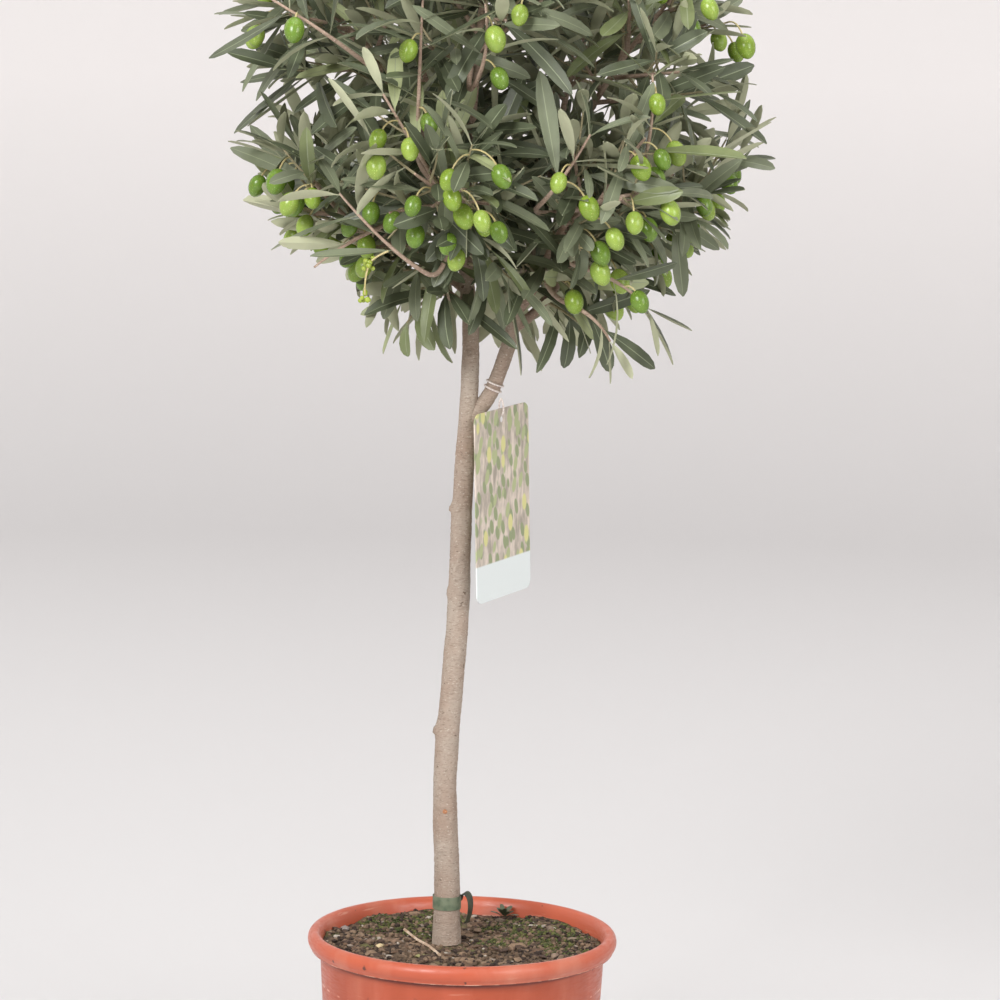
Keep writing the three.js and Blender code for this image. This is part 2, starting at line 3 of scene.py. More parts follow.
import bpy
import numpy as np
from mathutils import Matrix, Vector, noise


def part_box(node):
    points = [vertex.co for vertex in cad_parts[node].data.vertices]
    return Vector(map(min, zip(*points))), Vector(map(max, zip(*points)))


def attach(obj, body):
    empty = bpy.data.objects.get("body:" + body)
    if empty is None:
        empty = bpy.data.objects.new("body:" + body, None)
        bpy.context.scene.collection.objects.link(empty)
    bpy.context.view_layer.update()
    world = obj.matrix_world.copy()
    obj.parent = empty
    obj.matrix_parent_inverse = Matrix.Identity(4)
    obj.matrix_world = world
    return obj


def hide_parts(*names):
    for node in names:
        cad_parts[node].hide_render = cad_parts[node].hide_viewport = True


# A young olive tree on a bare stem, in a terracotta-coloured plastic pot. Metres, in the frame of
# the CAD: +Z up, the origin under the middle of the pot, the viewer on the -Y side.
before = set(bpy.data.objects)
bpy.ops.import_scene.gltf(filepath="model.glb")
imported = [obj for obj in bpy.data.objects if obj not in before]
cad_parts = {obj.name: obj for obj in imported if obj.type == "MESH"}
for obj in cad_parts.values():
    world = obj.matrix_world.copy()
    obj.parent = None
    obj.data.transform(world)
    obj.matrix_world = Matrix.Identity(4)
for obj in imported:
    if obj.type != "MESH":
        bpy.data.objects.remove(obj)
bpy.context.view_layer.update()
MM = 0.001

# The view: a long lens at the height of the crown's foot, looking slightly down, and a soft white
# studio. The floor is the flat middle of a wide pale bowl, so that every side has a plain ground.
CAMERA_PLACE = Vector((0.024, -2.25, 0.7049))
CAMERA_DOWN = math.radians(6.804)
CAMERA_YAW = math.radians(0.1136)
CAMERA_ROLL = math.radians(1.0)
LENS_LENGTH = 127.485
SENSOR_WIDTH = 36
camera_data = bpy.data.cameras.new("view")
camera_data.lens = LENS_LENGTH
camera_data.sensor_width = SENSOR_WIDTH
camera = bpy.data.objects.new("view", camera_data)
bpy.context.scene.collection.objects.link(camera)
camera.matrix_world = (
    Matrix.Translation(CAMERA_PLACE)
    @ Matrix.Rotation(CAMERA_YAW, 4, "Z")
    @ Matrix.Rotation(math.pi / 2 - CAMERA_DOWN, 4, "X")
    @ Matrix.Rotation(CAMERA_ROLL, 4, "Z")
)
bpy.context.scene.camera = camera
bpy.context.scene.view_settings.view_transform = "Standard"


def paint(red, green, blue):
    """A colour as read off a screen, 0 to 255, as the linear colour that a shader takes."""
    parts = [part / 255 for part in (red, green, blue)]
    return (*[p / 12.92 if p <= 0.04045 else ((p + 0.055) / 1.055) ** 2.4 for p in parts], 1.0)


def put(tree, kind, inputs=None, **settings):
    """Adds a node, sets it up, and links or fills its inputs, given by name or number."""
    node = tree.nodes.new("ShaderNode" + kind)
    for name, value in settings.items():
        setattr(node, name, value)
    for name, value in (inputs or {}).items():
        if isinstance(value, bpy.types.NodeSocket):
            tree.links.new(value, node.inputs[name])
        else:
            node.inputs[name].default_value = value
    return node


def ramp(tree, value, start, end):
    """How far a value is on its way from start to end, from 0 to 1."""
    return put(tree, "MapRange", {"Value": value, "From Min": start, "From Max": end}).outputs["Result"]


def mixed(tree, share, first, second):
    """The first colour going over into the second. Each is a colour or the output of a node."""
    return put(tree, "Mix", {0: share, 6: first, 7: second}, data_type="RGBA").outputs[2]


def height_of(tree):
    """How high a place of the surface lies, in metres."""
    where = put(tree, "TexCoord").outputs["Object"]
    return put(tree, "SeparateXYZ", {"Vector": where}).outputs["Z"]


def new_finish(name, roughness):
    """A material with its own shader: (material, node tree, shader)."""
    material = bpy.data.materials.new(name)
    material.use_nodes = True
    shader = material.node_tree.nodes["Principled BSDF"]
    shader.inputs["Roughness"].default_value = roughness
    return material, material.node_tree, shader


def deselect():
    if bpy.context.object and bpy.context.object.mode != "OBJECT":
        bpy.ops.object.mode_set(mode="OBJECT")
    bpy.ops.object.select_all(action="DESELECT")


def pick(piece):
    """Selects one piece alone and makes it the active one."""
    deselect()
    bpy.context.view_layer.objects.active = piece
    piece.select_set(True)


def start_ring(name, radius, height, sides):
    """Adds a closed disc and leaves it in edit mode, to be drawn up ring by ring."""
    deselect()
    place = (0, 0, height)
    bpy.ops.mesh.primitive_circle_add(vertices=sides, radius=radius, fill_type="NGON", location=place)
    bpy.ops.object.transform_apply(location=True)
    bpy.context.object.name = name
    bpy.ops.object.mode_set(mode="EDIT")
    bpy.ops.mesh.select_all(action="SELECT")
    return bpy.context.object


def draw_up(rings):
    """Extrudes the selected face from ring to ring, each a (radius, height)."""
    for (radius, height), (next_radius, next_height) in zip(rings, rings[1:]):
        bpy.ops.mesh.extrude_region_move(TRANSFORM_OT_translate={"value": (0, 0, next_height - height)})
        wider = next_radius / radius
        bpy.ops.transform.resize(value=(wider, wider, 1), center_override=(0, 0, next_height))


def close_up(piece, angle=35):
    """Leaves edit mode with the faces pointing out, smooth but for the edges past an angle."""
    bpy.ops.mesh.select_all(action="SELECT")
    bpy.ops.mesh.normals_make_consistent(inside=False)
    bpy.ops.object.mode_set(mode="OBJECT")
    bpy.ops.object.shade_smooth_by_angle(angle=math.radians(angle))
    return piece


FLOOR_RADIUS = 3.2
WALL_RADIUS = 5.0
WALL_TOP = 6.0
PAPER_CHANGE = 0.7  # the height up to which the paper's tone changes
PAPER_LOW = paint(218, 217, 217)
PAPER_HIGH = paint(245, 242, 241)
studio = start_ring("studio_floor", FLOOR_RADIUS, 0, 96)
bend = WALL_RADIUS - FLOOR_RADIUS
steps = [math.radians(90) * k / 12 for k in range(1, 13)]
bpy.ops.mesh.select_all(action="DESELECT")
bpy.ops.mesh.select_mode(type="EDGE")
bpy.ops.mesh.select_non_manifold()
draw_up(
    [(FLOOR_RADIUS, 0)]
    + [(FLOOR_RADIUS + bend * math.sin(step), bend * (1 - math.cos(step))) for step in steps]
    + [(WALL_RADIUS, WALL_TOP)]
)
close_up(studio, 60)
material, tree, shader = new_finish("studio_paper", 0.9)
paper = mixed(tree, ramp(tree, height_of(tree), 0, PAPER_CHANGE), PAPER_LOW, PAPER_HIGH)
tree.links.new(paper, shader.inputs["Base Color"])
shader.inputs["Specular IOR Level"].default_value = 0
studio.data.materials.append(material)

# Soft lamps: (place, aim, size, watts). The last two light the paper behind.
LAMPS = [
    ((-1.4, -2.4, 2.0), (0, 0, 0.5), 1.2, 80),
    ((1.8, -2.0, 1.4), (0, 0, 0.5), 1.4, 30),
    ((0.1, -0.4, 3.0), (0, 0, 0.5), 2.0, 26),
    ((-2.0, 0.9, 2.4), (-0.3, 4.6, 1.7), 1.6, 29),
    ((2.0, 0.9, 2.4), (0.3, 4.6, 1.7), 1.6, 26),
]
for number, (spot, aim, size, watts) in enumerate(LAMPS):
    lamp = bpy.data.objects.new(f"lamp_{number}", bpy.data.lights.new(f"lamp_{number}", "AREA"))
    lamp.data.size = size
    lamp.data.energy = watts
    lamp.location = spot
    lamp.rotation_euler = (Vector(aim) - Vector(spot)).to_track_quat("-Z", "Y").to_euler()
    bpy.context.scene.collection.objects.link(lamp)
world = bpy.context.scene.world or bpy.data.worlds.new("studio")
bpy.context.scene.world = world
world.use_nodes = True
world.node_tree.nodes["Background"].inputs["Color"].default_value = paint(246, 246, 248)
world.node_tree.nodes["Background"].inputs["Strength"].default_value = 0.92

# The pot: terracotta-coloured plastic, moulded in one, with a rolled rim and drain holes in its
# floor. It stands free, and is dusty and scuffed from the nursery.
POT_HIGH = Vector(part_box("pot")[1])
POT_HEIGHT = POT_HIGH.z
RIM_RADIUS = POT_HIGH.x
RIM_HEIGHT = 11.5 * MM
WALL_TOP_RADIUS = 92.3 * MM
FOOT_RADIUS = 84 * MM
POT_WALL = 1.8 * MM
ROLL_WIDE = 4.3 * MM  # half the width and half the height of the rim's roll
ROLL_HIGH = 5.6 * MM
DRAIN_RADIUS = 5 * MM
DRAIN_CIRCLE = 58 * MM
DRAIN_COUNT = 6
pot_taper = (WALL_TOP_RADIUS - FOOT_RADIUS) / (POT_HEIGHT - RIM_HEIGHT)


def wall_radius(height):
    """The outside of the pot's wall at a height."""
    return FOOT_RADIUS + pot_taper * height


pot_rings = [
    (wall_radius(0) - 2.6 * MM, 0),
    (wall_radius(0) - 1.0 * MM, 0.5 * MM),
    (wall_radius(0), 2.2 * MM),
    *[(wall_radius(16 * MM * k), 16 * MM * k) for k in range(1, 9)],
    (WALL_TOP_RADIUS, POT_HEIGHT - 8.6 * MM),
    (WALL_TOP_RADIUS + 1.2 * MM, POT_HEIGHT - 7.4 * MM),
    (RIM_RADIUS - 3.4 * MM, POT_HEIGHT - 7.6 * MM),
    (RIM_RADIUS - 2.9 * MM, POT_HEIGHT - 9.8 * MM),
    (RIM_RADIUS - 2.8 * MM, POT_HEIGHT - RIM_HEIGHT - 0.2 * MM),
    (RIM_RADIUS - 2.2 * MM, POT_HEIGHT - RIM_HEIGHT - 0.1 * MM),
    *[
        (
            RIM_RADIUS - ROLL_WIDE + ROLL_WIDE * math.cos(math.radians(turn)),
            POT_HEIGHT - ROLL_HIGH + ROLL_HIGH * math.sin(math.radians(turn)),
        )
        for turn in range(-56, 153, 16)
    ],
    (wall_radius(POT_HEIGHT - 5.4 * MM) - POT_WALL, POT_HEIGHT - 5.4 * MM),
    (wall_radius(POT_HEIGHT - 34 * MM) - POT_WALL, POT_HEIGHT - 34 * MM),
    (wall_radius(2 * MM) - POT_WALL, POT_WALL),
]
pot = start_ring("pot_shell", *pot_rings[0], 128)
draw_up(pot_rings)
close_up(pot)
drain_cutters = []
for k in range(DRAIN_COUNT):
    turn = math.tau * k / DRAIN_COUNT
    deselect()
    bpy.ops.mesh.primitive_cylinder_add(
        vertices=24,
        radius=DRAIN_RADIUS,
        depth=8 * MM,
        location=(DRAIN_CIRCLE * math.cos(turn), DRAIN_CIRCLE * math.sin(turn), 0),
    )
    drain_cutters.append(bpy.context.object)
for cutter in drain_cutters:
    cutter.select_set(True)
bpy.ops.object.join()
cutter = bpy.context.object
pick(pot)
holes = pot.modifiers.new("holes", "BOOLEAN")
holes.operation = "DIFFERENCE"
holes.object = cutter
bpy.ops.object.modifier_apply(modifier="holes")
bpy.data.objects.remove(cutter)

# A patchwork of two colours that runs into one another: the finish of anything that isn't one flat
# colour, and of the scuffs and stains on it.
patches = bpy.data.node_groups.new("patches", "ShaderNodeTree")
for name, kind in (
    ("Vector", "NodeSocketVector"),
    ("Scale", "NodeSocketFloat"),
    ("Detail", "NodeSocketFloat"),
    ("From", "NodeSocketFloat"),
    ("To", "NodeSocketFloat"),
    ("First", "NodeSocketColor"),
    ("Second", "NodeSocketColor"),
):
    patches.interface.new_socket(name, in_out="INPUT", socket_type=kind)
for name, kind in (("Color", "NodeSocketColor"), ("Mask", "NodeSocketFloat"), ("Relief", "NodeSocketFloat")):
    patches.interface.new_socket(name, in_out="OUTPUT", socket_type=kind)
given = patches.nodes.new("NodeGroupInput").outputs
result = patches.nodes.new("NodeGroupOutput").inputs
grain_inputs = {name: given[name] for name in ("Vector", "Scale", "Detail")}
grain = put(patches, "TexNoise", grain_inputs).outputs["Fac"]
spread = ramp(patches, grain, given["From"], given["To"])
patches.links.new(mixed(patches, spread, given["First"], given["Second"]), result["Color"])
patches.links.new(spread, result["Mask"])
patches.links.new(grain, result["Relief"])


def patchwork(tree, where, scale, first, second, low=0.35, high=0.65, detail=4.0):
    """A patches node over one material. first and second are colours or the outputs of other nodes."""
    noise_inputs = {"Vector": where, "Scale": scale, "Detail": detail}
    tone_inputs = {"From": low, "To": high, "First": first, "Second": second}
    return put(tree, "Group", noise_inputs | tone_inputs, node_tree=patches).outputs


def places(tree, stretch=(1, 1, 1)):
    """Object coordinates, stretched."""
    where = put(tree, "TexCoord").outputs["Object"]
    return put(tree, "Mapping", {"Vector": where, "Scale": stretch}).outputs["Vector"]


def emboss(tree, shader, height, strength, distance):
    """Feeds a height to the shader's normal."""
    bump = put(tree, "Bump", {"Height": height, "Strength": strength, "Distance": distance})
    tree.links.new(bump.outputs["Normal"], shader.inputs["Normal"])


def two_tone(name, roughness, scale, first, second, low=0.35, high=0.65, detail=4.0, relief=None):
    """A material of two tones, with a relief given as (strength, distance)."""
    material, tree, shader = new_finish(name, roughness)
    tones = patchwork(tree, places(tree), scale, first, second, low, high, detail)
    tree.links.new(tones["Color"], shader.inputs["Base Color"])
    if relief:
        emboss(tree, shader, tones["Relief"], *relief)
    return material


def shaded(color, part):
    """A colour with only a part of its light."""
    return (*[part * share for share in color[:3]], 1)


POT_COLORS = paint(200, 97, 66), paint(188, 87, 58)
POT_DUST = paint(210, 142, 118)
POT_SPECK = paint(104, 56, 44)
material, tree, shader = new_finish("pot_plastic", 0.46)
where = places(tree)
body = patchwork(tree, where, 14, *POT_COLORS)
dusty = patchwork(tree, places(tree, (1, 1, 0.5)), 26, body["Color"], POT_DUST, 0.54, 0.9, 7)
specked = patchwork(tree, where, 110, dusty["Color"], POT_SPECK, 0.71, 0.74, 2)
scuffed = patchwork(tree, places(tree, (0.5, 0.5, 5)), 70, specked["Color"], POT_DUST, 0.66, 0.76, 5)
# Bands round the wall, broken here and there: painted shade of the roll, which darkens the whole wall
# below it; a darker line of painted shade in the undercut under the roll; a pale seam of flash along its
# lower edge; and a rubbed line further down.
# Each is (foot, top, soft edge, first break, last break, colour).
POT_BANDS = [
    # painted shade: the whole wall below the roll, darker
    (0, 0.1412, 0.001, 0.2, 0.6, paint(175, 76, 44)),
    # painted shade: a dark line in the undercut just under the roll
    (0.1412, 0.1434, 0.0016, 0.1, 0.42, paint(122, 52, 38)),
    (0.1429, 0.1436, 0.0004, 0.46, 0.62, paint(226, 172, 148)),
    (0.1214, 0.1219, 0.0005, 0.5, 0.6, paint(232, 170, 146)),
]
BAND_TOP_EDGE = 0.4 * MM
banded = scuffed["Color"]
wall_height = height_of(tree)
for low, high, soft, first, last, color in POT_BANDS:
    breaks = patchwork(tree, places(tree, (1, 1, 0.2)), 60 + 400 * low, POT_SPECK, POT_DUST, first, last, 5)
    share = breaks["Mask"]
    for start, end in ((low - soft, low), (high + BAND_TOP_EDGE, high)):
        factors = {0: share, 1: ramp(tree, wall_height, start, end)}
        share = put(tree, "Math", factors, operation="MULTIPLY").outputs["Value"]
    banded = mixed(tree, share, banded, color)
tree.links.new(banded, shader.inputs["Base Color"])
POT_SHINE = (0.32, 0.32, 0.32, 1), (0.56, 0.56, 0.56, 1)  # roughness, where polished and where scratched
scratches = patchwork(tree, places(tree, (1, 1, 7)), 120, *POT_SHINE, 0.4, 0.7, 5)
tree.links.new(scratches["Color"], shader.inputs["Roughness"])
shader.inputs["Sheen Weight"].default_value = 0.07
shader.inputs["Specular IOR Level"].default_value = 0.6
emboss(tree, shader, scratches["Relief"], 0.12, 0.0006)
pot.data.materials.append(material)
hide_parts("pot")
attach(pot, "root")

# The compost: dark peat and bark that fills the pot to 9 mm under its rim and heaves a little, with
# crumbs, chips, grit and a green film of moss on it. It lies loose round the trunk's foot.
SOIL_TOP = 146 * MM
SOIL_SWELL = 2.2
TRUNK_FOOT = (-10.2, 0.0)


def smooth_step(value, low, high):
    share = min(max((value - low) / (high - low), 0), 1)
    return share * share * (3 - 2 * share)


def soil_heave(x, y):
    """How far the compost stands above its mean level, from places in millimetres."""
    away = math.hypot(x - TRUNK_FOOT[0], y - TRUNK_FOOT[1])
    waves = math.sin(x / 17 + 1) * math.cos(y / 21) + 0.5 * math.sin(y / 9 + x / 13)
    return SOIL_SWELL * smooth_step(away, 24, 55) * waves


def soil_height(x, y):
    """The rough top of the compost, in metres."""
    lumps = noise.noise(Vector((x * 120, y * 120, 2))) * 1.6
    lumps += noise.noise(Vector((x * 320, y * 320, 0))) * 1.2
    crumbs = noise.noise(Vector((x * 800, y * 800, 5))) * 0.7
    return SOIL_TOP + (soil_heave(x / MM, y / MM) + lumps + crumbs - 0.6) * MM


soil_edge = wall_radius(SOIL_TOP) - POT_WALL - 0.5 * MM
soil_rings = [
    (wall_radius(3 * MM) - POT_WALL - 0.5 * MM, POT_WALL + 0.4 * MM),
    (wall_radius(110 * MM) - POT_WALL - 0.5 * MM, 110 * MM),
    (soil_edge, SOIL_TOP),
]
SOIL_INSETS = 56  # rings of faces across the compost, which leave a small middle
compost = start_ring("compost_bed", *soil_rings[0], 180)
draw_up(soil_rings)
for _ in range(SOIL_INSETS):
    bpy.ops.mesh.inset(thickness=soil_edge / (SOIL_INSETS + 2))
close_up(compost, 180)
for corner in compost.data.vertices:
    if corner.co.z > SOIL_TOP - MM:
        corner.co.z = soil_height(corner.co.x, corner.co.y)
SOIL_COLORS = paint(56, 44, 36), paint(118, 98, 78)
material, tree, shader = new_finish("compost_peat", 0.95)
earth = patchwork(tree, places(tree), 180, *SOIL_COLORS, 0.38, 0.66, 8)
MOSS_FILM = paint(104, 102, 62)
filmed = patchwork(tree, places(tree), 34, earth["Color"], MOSS_FILM, 0.5, 0.66, 7)
tree.links.new(filmed["Color"], shader.inputs["Base Color"])
emboss(tree, shader, earth["Relief"], 0.7, 0.002)
compost.data.materials.append(material)
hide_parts("compost")
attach(compost, "root")


def dice(seed):
    """Numbers that look random and are the same for the same seed, as in the source."""
    state = ((seed + 1) * 2654435761) & 0xFFFFFFFF

    def roll(low, high):
        nonlocal state
        state = (state * 1664525 + 1013904223) & 0xFFFFFFFF
        return low + (high - low) * state / 2**32

    return roll


def joined_mesh(name, batches, materials, angle=40):
    """One mesh from batches of (points, faces, material numbers), smooth but for sharp edges."""
    points, faces, kinds, first = [], [], [], 0
    for batch_points, batch_faces, batch_kinds in batches:
        points.append(batch_points)
        faces += [[first + corner for corner in face] for face in batch_faces]
        kinds += list(batch_kinds)
        first += len(batch_points)
    mesh = bpy.data.meshes.new(name)
    mesh.from_pydata(np.concatenate(points).tolist(), [], faces)
    mesh.polygons.foreach_set("material_index", kinds)
    for material in materials:
        mesh.materials.append(material)
    piece = bpy.data.objects.new(name, mesh)
    bpy.context.scene.collection.objects.link(piece)
    pick(piece)
    bpy.ops.object.shade_smooth_by_angle(angle=math.radians(angle))
    return piece


def take_shape(piece):
    """The points and faces of a piece that is then removed."""
    points = np.array([corner.co[:] for corner in piece.data.vertices])
    faces = [list(face.vertices) for face in piece.data.polygons]
    bpy.data.objects.remove(piece)
    return points, faces


def tube_faces(rows, sides):
    """The faces of a closed tube: all round between its rows of points, and over both ends."""
    faces = []
    for first in range(0, (rows - 1) * sides, sides):
        for k in range(sides):
            other = (k + 1) % sides
            faces.append((first + k, first + other, first + sides + other, first + sides + k))
    return [*faces, tuple(range(sides))[::-1], tuple(range((rows - 1) * sides, rows * sides))]


deselect()
bpy.ops.mesh.primitive_ico_sphere_add(subdivisions=1, radius=1)
lump_points, lump_faces = take_shape(bpy.context.object)
# Loose bits: (name, how many, half sizes in millimetres, flatness, colours)
LITTER = [
    ("crumb", 2600, (0.7, 2.1), 0.8, [paint(64, 50, 42), paint(108, 88, 70), paint(142, 118, 96)]),
    ("chip", 340, (1.4, 3.4), 0.4, [paint(118, 92, 72), paint(152, 126, 102), paint(88, 68, 56)]),
    ("grit", 90, (0.7, 1.7), 0.8, [paint(196, 184, 170), paint(164, 148, 134)]),
    ("moss", 3200, (0.5, 1.3), 0.8, [paint(92, 98, 50), paint(116, 118, 64), paint(72, 80, 42)]),
]
# Where moss grows: (across, deep, reach) in millimetres
MOSS_BEDS = [
    (52, 26, 36),
    (30, 52, 26),
    (70, -14, 20),
    (-36, 42, 30),
    (-16, 62, 24),
    (-58, 56, 16),
    (26, 6, 18),
]
LITTER_MARGIN = 2.5 * MM  # from the pot's wall
FOOT_CLEAR = 12  # from the middle of the trunk's foot, in millimetres
roll = dice(900)
for name, count, (least, most), flatness, colors in LITTER:
    finishes = []
    for number, color in enumerate(colors):
        finishes.append(two_tone(f"{name}_{number}", 0.9, 420, color, shaded(color, 0.62)))
    batches = []
    while len(batches) < count:
        away = (soil_edge - LITTER_MARGIN) * math.sqrt(roll(0, 1))
        turn = roll(0, math.tau)
        x, y = away * math.cos(turn), away * math.sin(turn)
        beds = [1 - math.hypot(x / MM - across, y / MM - deep) / reach for across, deep, reach in MOSS_BEDS]
        lush = max(beds) + 0.6 * noise.noise(Vector((x * 60, y * 60, 3)))
        at_foot = math.hypot(x / MM - TRUNK_FOOT[0], y / MM - TRUNK_FOOT[1]) < FOOT_CLEAR
        if at_foot or (name == "moss" and lush < 0.12) or (name == "chip" and lush > 0.3):
            continue
        size = roll(least, most) * MM
        long = 1 if name in ("crumb", "moss") else roll(1.1, 2.4)
        rough = np.array([[roll(0.72, 1.2)] for _ in lump_points])
        lie = Matrix.Rotation(roll(0, math.tau), 3, "Z") @ Matrix.Rotation(roll(-0.4, 0.4), 3, "X")
        shape = (lump_points * rough * [size * long, size, size * flatness]) @ np.array(lie).T
        seat = [x, y, soil_height(x, y) + size * flatness * 0.35]
        batches.append((shape + seat, lump_faces, [int(roll(0, len(colors)))] * len(lump_faces)))
    litter = joined_mesh(f"litter_{name}", batches, finishes, 30 if name == "chip" else 60)
    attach(litter, "root")

# Bigger bits that lie on the compost: pale stones and chips, (across, deep, half sizes, turn) in
# millimetres, and a dry split twig that leans on the surface.
STONES = [
    (-53, -9.7, (3.4, 2.2, 1.7), 0.4, paint(226, 204, 160)),
    (-60, -2, (4.2, 3.2, 2.6), 1.1, paint(150, 124, 104)),
    (-78, 36, (3.6, 3.0, 2.6), 0.2, paint(168, 156, 150)),
    (-66, 16, (3.6, 2.6, 2.0), 2.0, paint(146, 122, 100)),
    (-44, 4, (3.4, 3.0, 2.2), 0.9, paint(138, 112, 92)),
    (-10, -61, (2.6, 1.4, 0.8), 1.3, paint(224, 214, 196)),
    (-27, -36, (4.4, 2.6, 1.2), 0.6, paint(160, 156, 104)),
    (58, 40, (4.6, 3.0, 2.2), 1.8, paint(142, 122, 106)),
    (72, 18, (4.0, 2.8, 2.0), 0.4, paint(156, 138, 118)),
    (30, -58, (5.0, 3.4, 2.2), 2.6, paint(120, 100, 86)),
    (12, -66, (4.6, 2.6, 1.8), 0.2, paint(132, 110, 92)),
    (60, -34, (3.8, 3.0, 2.2), 1.2, paint(150, 128, 110)),
    (24, 62, (4.2, 3.2, 2.4), 0.1, paint(120, 104, 88)),
]
batches = []
finishes = []
for across, deep, half_sizes, turn, color in STONES:
    stone = two_tone(f"bit_{len(finishes)}", 0.85, 300, color, shaded(color, 0.6), 0.4, 0.7, 5, (0.4, 0.001))
    rough = np.array([[roll(0.8, 1.15)] for _ in lump_points])
    shape = (lump_points * rough * half_sizes) @ np.array(Matrix.Rotation(turn, 3, "Z")).T * MM
    seat = [across * MM, deep * MM, soil_height(across * MM, deep * MM) + half_sizes[2] * 0.5 * MM]
    batches.append((shape + seat, lump_faces, [len(finishes)] * len(lump_faces)))
    finishes.append(stone)
DRY_TWIG = [(-38, 24, 3.6), (-29, 2, 2.6), (-21, -16, 1.8), (-14, -33, 0.8)]  # across, deep, lift
DRY_TWIG_HALF = 1.15
DRY_TWIG_ROUND = [(-1, 0), (0, -0.8), (1, 0), (0.3, 0.9), (-0.4, 1.0)]
DRY_WOOD = paint(222, 200, 176), paint(176, 146, 118)
finishes.append(two_tone("dry_twig", 0.8, 260, *DRY_WOOD, 0.4, 0.7, 5, (0.5, 0.0008)))
ring = []
for across, deep, lift in DRY_TWIG:
    height = soil_height(across * MM, deep * MM) / MM + lift
    for side, rise in DRY_TWIG_ROUND:
        ring.append([across + side * DRY_TWIG_HALF, deep, height + rise * DRY_TWIG_HALF])
faces = [face[::-1] for face in tube_faces(len(DRY_TWIG), len(DRY_TWIG_ROUND))]
batches.append((np.array(ring) * MM, faces, [len(finishes) - 1] * len(faces)))
bits = joined_mesh("soil_bits", batches, finishes, 60)
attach(bits, "root")

# The trunk and the right bough: one young stem with smooth grey-tan bark, old pruning scars, and a
# fork at 50 cm. Both are grown wood, and the source's own rule gives their lines.
TRUNK_LINE = [
    (-10.2, 0, 146.3, 9.5),
    (-10.4, 0, 163, 8.8),
    (-10.6, 0, 190, 8.2),
    (-12.9, 0, 255, 7.6),
    (-9.4, 1, 312, 7.3),
    (-5.9, 1, 370, 7.1),
    (-4.8, 0, 430, 6.6),
    (-1.5, 0, 500, 5.8),
    (-1.0, 0, 548, 5.3),
    (-7, 4, 610, 4.4),
    (-5, 3, 680, 3.3),
]
RIGHT_BOUGH_LINE = [
    (-1.5, 0, 486, 5.4),
    (10.6, 0, 502, 4.9),
    (16, -1, 514, 4.8),
    (23.5, -3, 537, 4.7),
    (31, -6, 570, 4.0),
    (43, -12, 625, 3.1),
]
LIMB_TIP_RADIUS = 2.2
BOUGH_FOOT_RADIUS = 3.4
STEM_TIP_RADIUS = 1.8
# Pruning scars: height, turn in degrees (0 is right, -90 is the front), size
SCARS = [
    (287, 194, 4.8),
    (299, 236, 3.0),
    (209, 248, 2.4),
    (314, 262, 2.2),
    (337, 292, 2.4),
    (376, 188, 3.2),
    (400, 268, 2.2),
    (431, 190, 3.6),
    (458, 330, 2.4),
    (486, 256, 2.8),
    (530, 268, 2.6),
]
STUB_LEAST = 3.2  # a scar larger than this keeps a snag of its old shoot
NICK_HEIGHT = 234.6  # a fresh nick in the bark, on the front
NICK_RADIUS = 1.5
CROWN_CENTRE = Vector((9, 0, 692))
CROWN_REACH = Vector((180, 177, 178))
# Rings of masses: name, how many, tilt, start, height of the first bough, step, droop
RINGS = [
    ("top", 1, 90, 0, 0, 0, 0.02),
    ("high", 5, 31, -22, 610, 15, 0.08),
    ("low", 7, -28, 3, 546, 12, 0.35),
]
SEAT_SHARE = 0.62
TIP_SHARE = 0.76
BOUGH_SHARE = 0.4
SPACE_GAP = 1.2
TAPER_REACH = 160  # from the crown's centre to the slope under each low mass
TAPER_TILT = math.radians(45)
GOLDEN_ANGLE = math.pi * (3 - math.sqrt(5))
UP = Vector((0, 0, 1))


def times(a, b):
    return Vector((a.x * b.x, a.y * b.y, a.z * b.z))


def shares(a, b):
    return Vector((a.x / b.x, a.y / b.y, a.z / b.z))


def square_to(direction, earlier):
    """A direction square to the first, as close as it can be to the second."""
    return (earlier - direction * earlier.dot(direction)).normalized()


def through(rows, share):
    """A point of the smooth curve through rows of points."""
    place = min(max(share, 0), 1) * (len(rows) - 1)
    number = min(int(place), len(rows) - 2)
    part = place - number
    corners = [Vector(row[:3]) for row in rows]
    before = corners[number - 1] if number else corners[0] * 2 - corners[1]
    after = corners[number + 2] if number + 2 < len(corners) else corners[-1] * 2 - corners[-2]
    start, end = corners[number], corners[number + 1]
    leave, arrive = (end - before) / 2, (after - start) / 2
    return (
        start
        + leave * part
        + (start * -3 + end * 3 - leave * 2 - arrive) * part**2
        + (start * 2 - end * 2 + leave + arrive) * part**3
    )


def smooth_line(rows, steps):
    """Places along the curve through rows, as (point, heading, radius) in millimetres."""
    line = []
    for k in range(steps + 1):
        share = k / steps
        place = share * (len(rows) - 1)
        number = min(int(place), len(rows) - 2)
        radius = rows[number][3] + (rows[number + 1][3] - rows[number][3]) * (place - number)
        heading = (through(rows, share + 1e-4) - through(rows, share - 1e-4)).normalized()
        line.append((through(rows, share), heading, radius))
    return line


def arch_line(start, lean, end, start_radius, end_radius, steps):
    """The same along an arch from start to end that leans through a third point."""
    line = []
    for k in range(steps + 1):
        share = k / steps
        rest = 1 - share
        point = start * rest**2 + lean * (2 * rest * share) + end * share**2
        heading = ((lean - start) * rest + (end - lean) * share).normalized()
        line.append((point, heading, start_radius + (end_radius - start_radius) * share))
    return line


def at_height(line, height):
    """The place of a rising line at a height."""
    number = next(max(k, 1) for k, place in enumerate(line) if place[0].z >= height or k == len(line) - 1)
    low, high = line[number - 1], line[number]
    share = (height - low[0].z) / (high[0].z - low[0].z)
    heading = low[1].lerp(high[1], share).normalized()
    return low[0].lerp(high[0], share), heading, low[2] + (high[2] - low[2]) * share


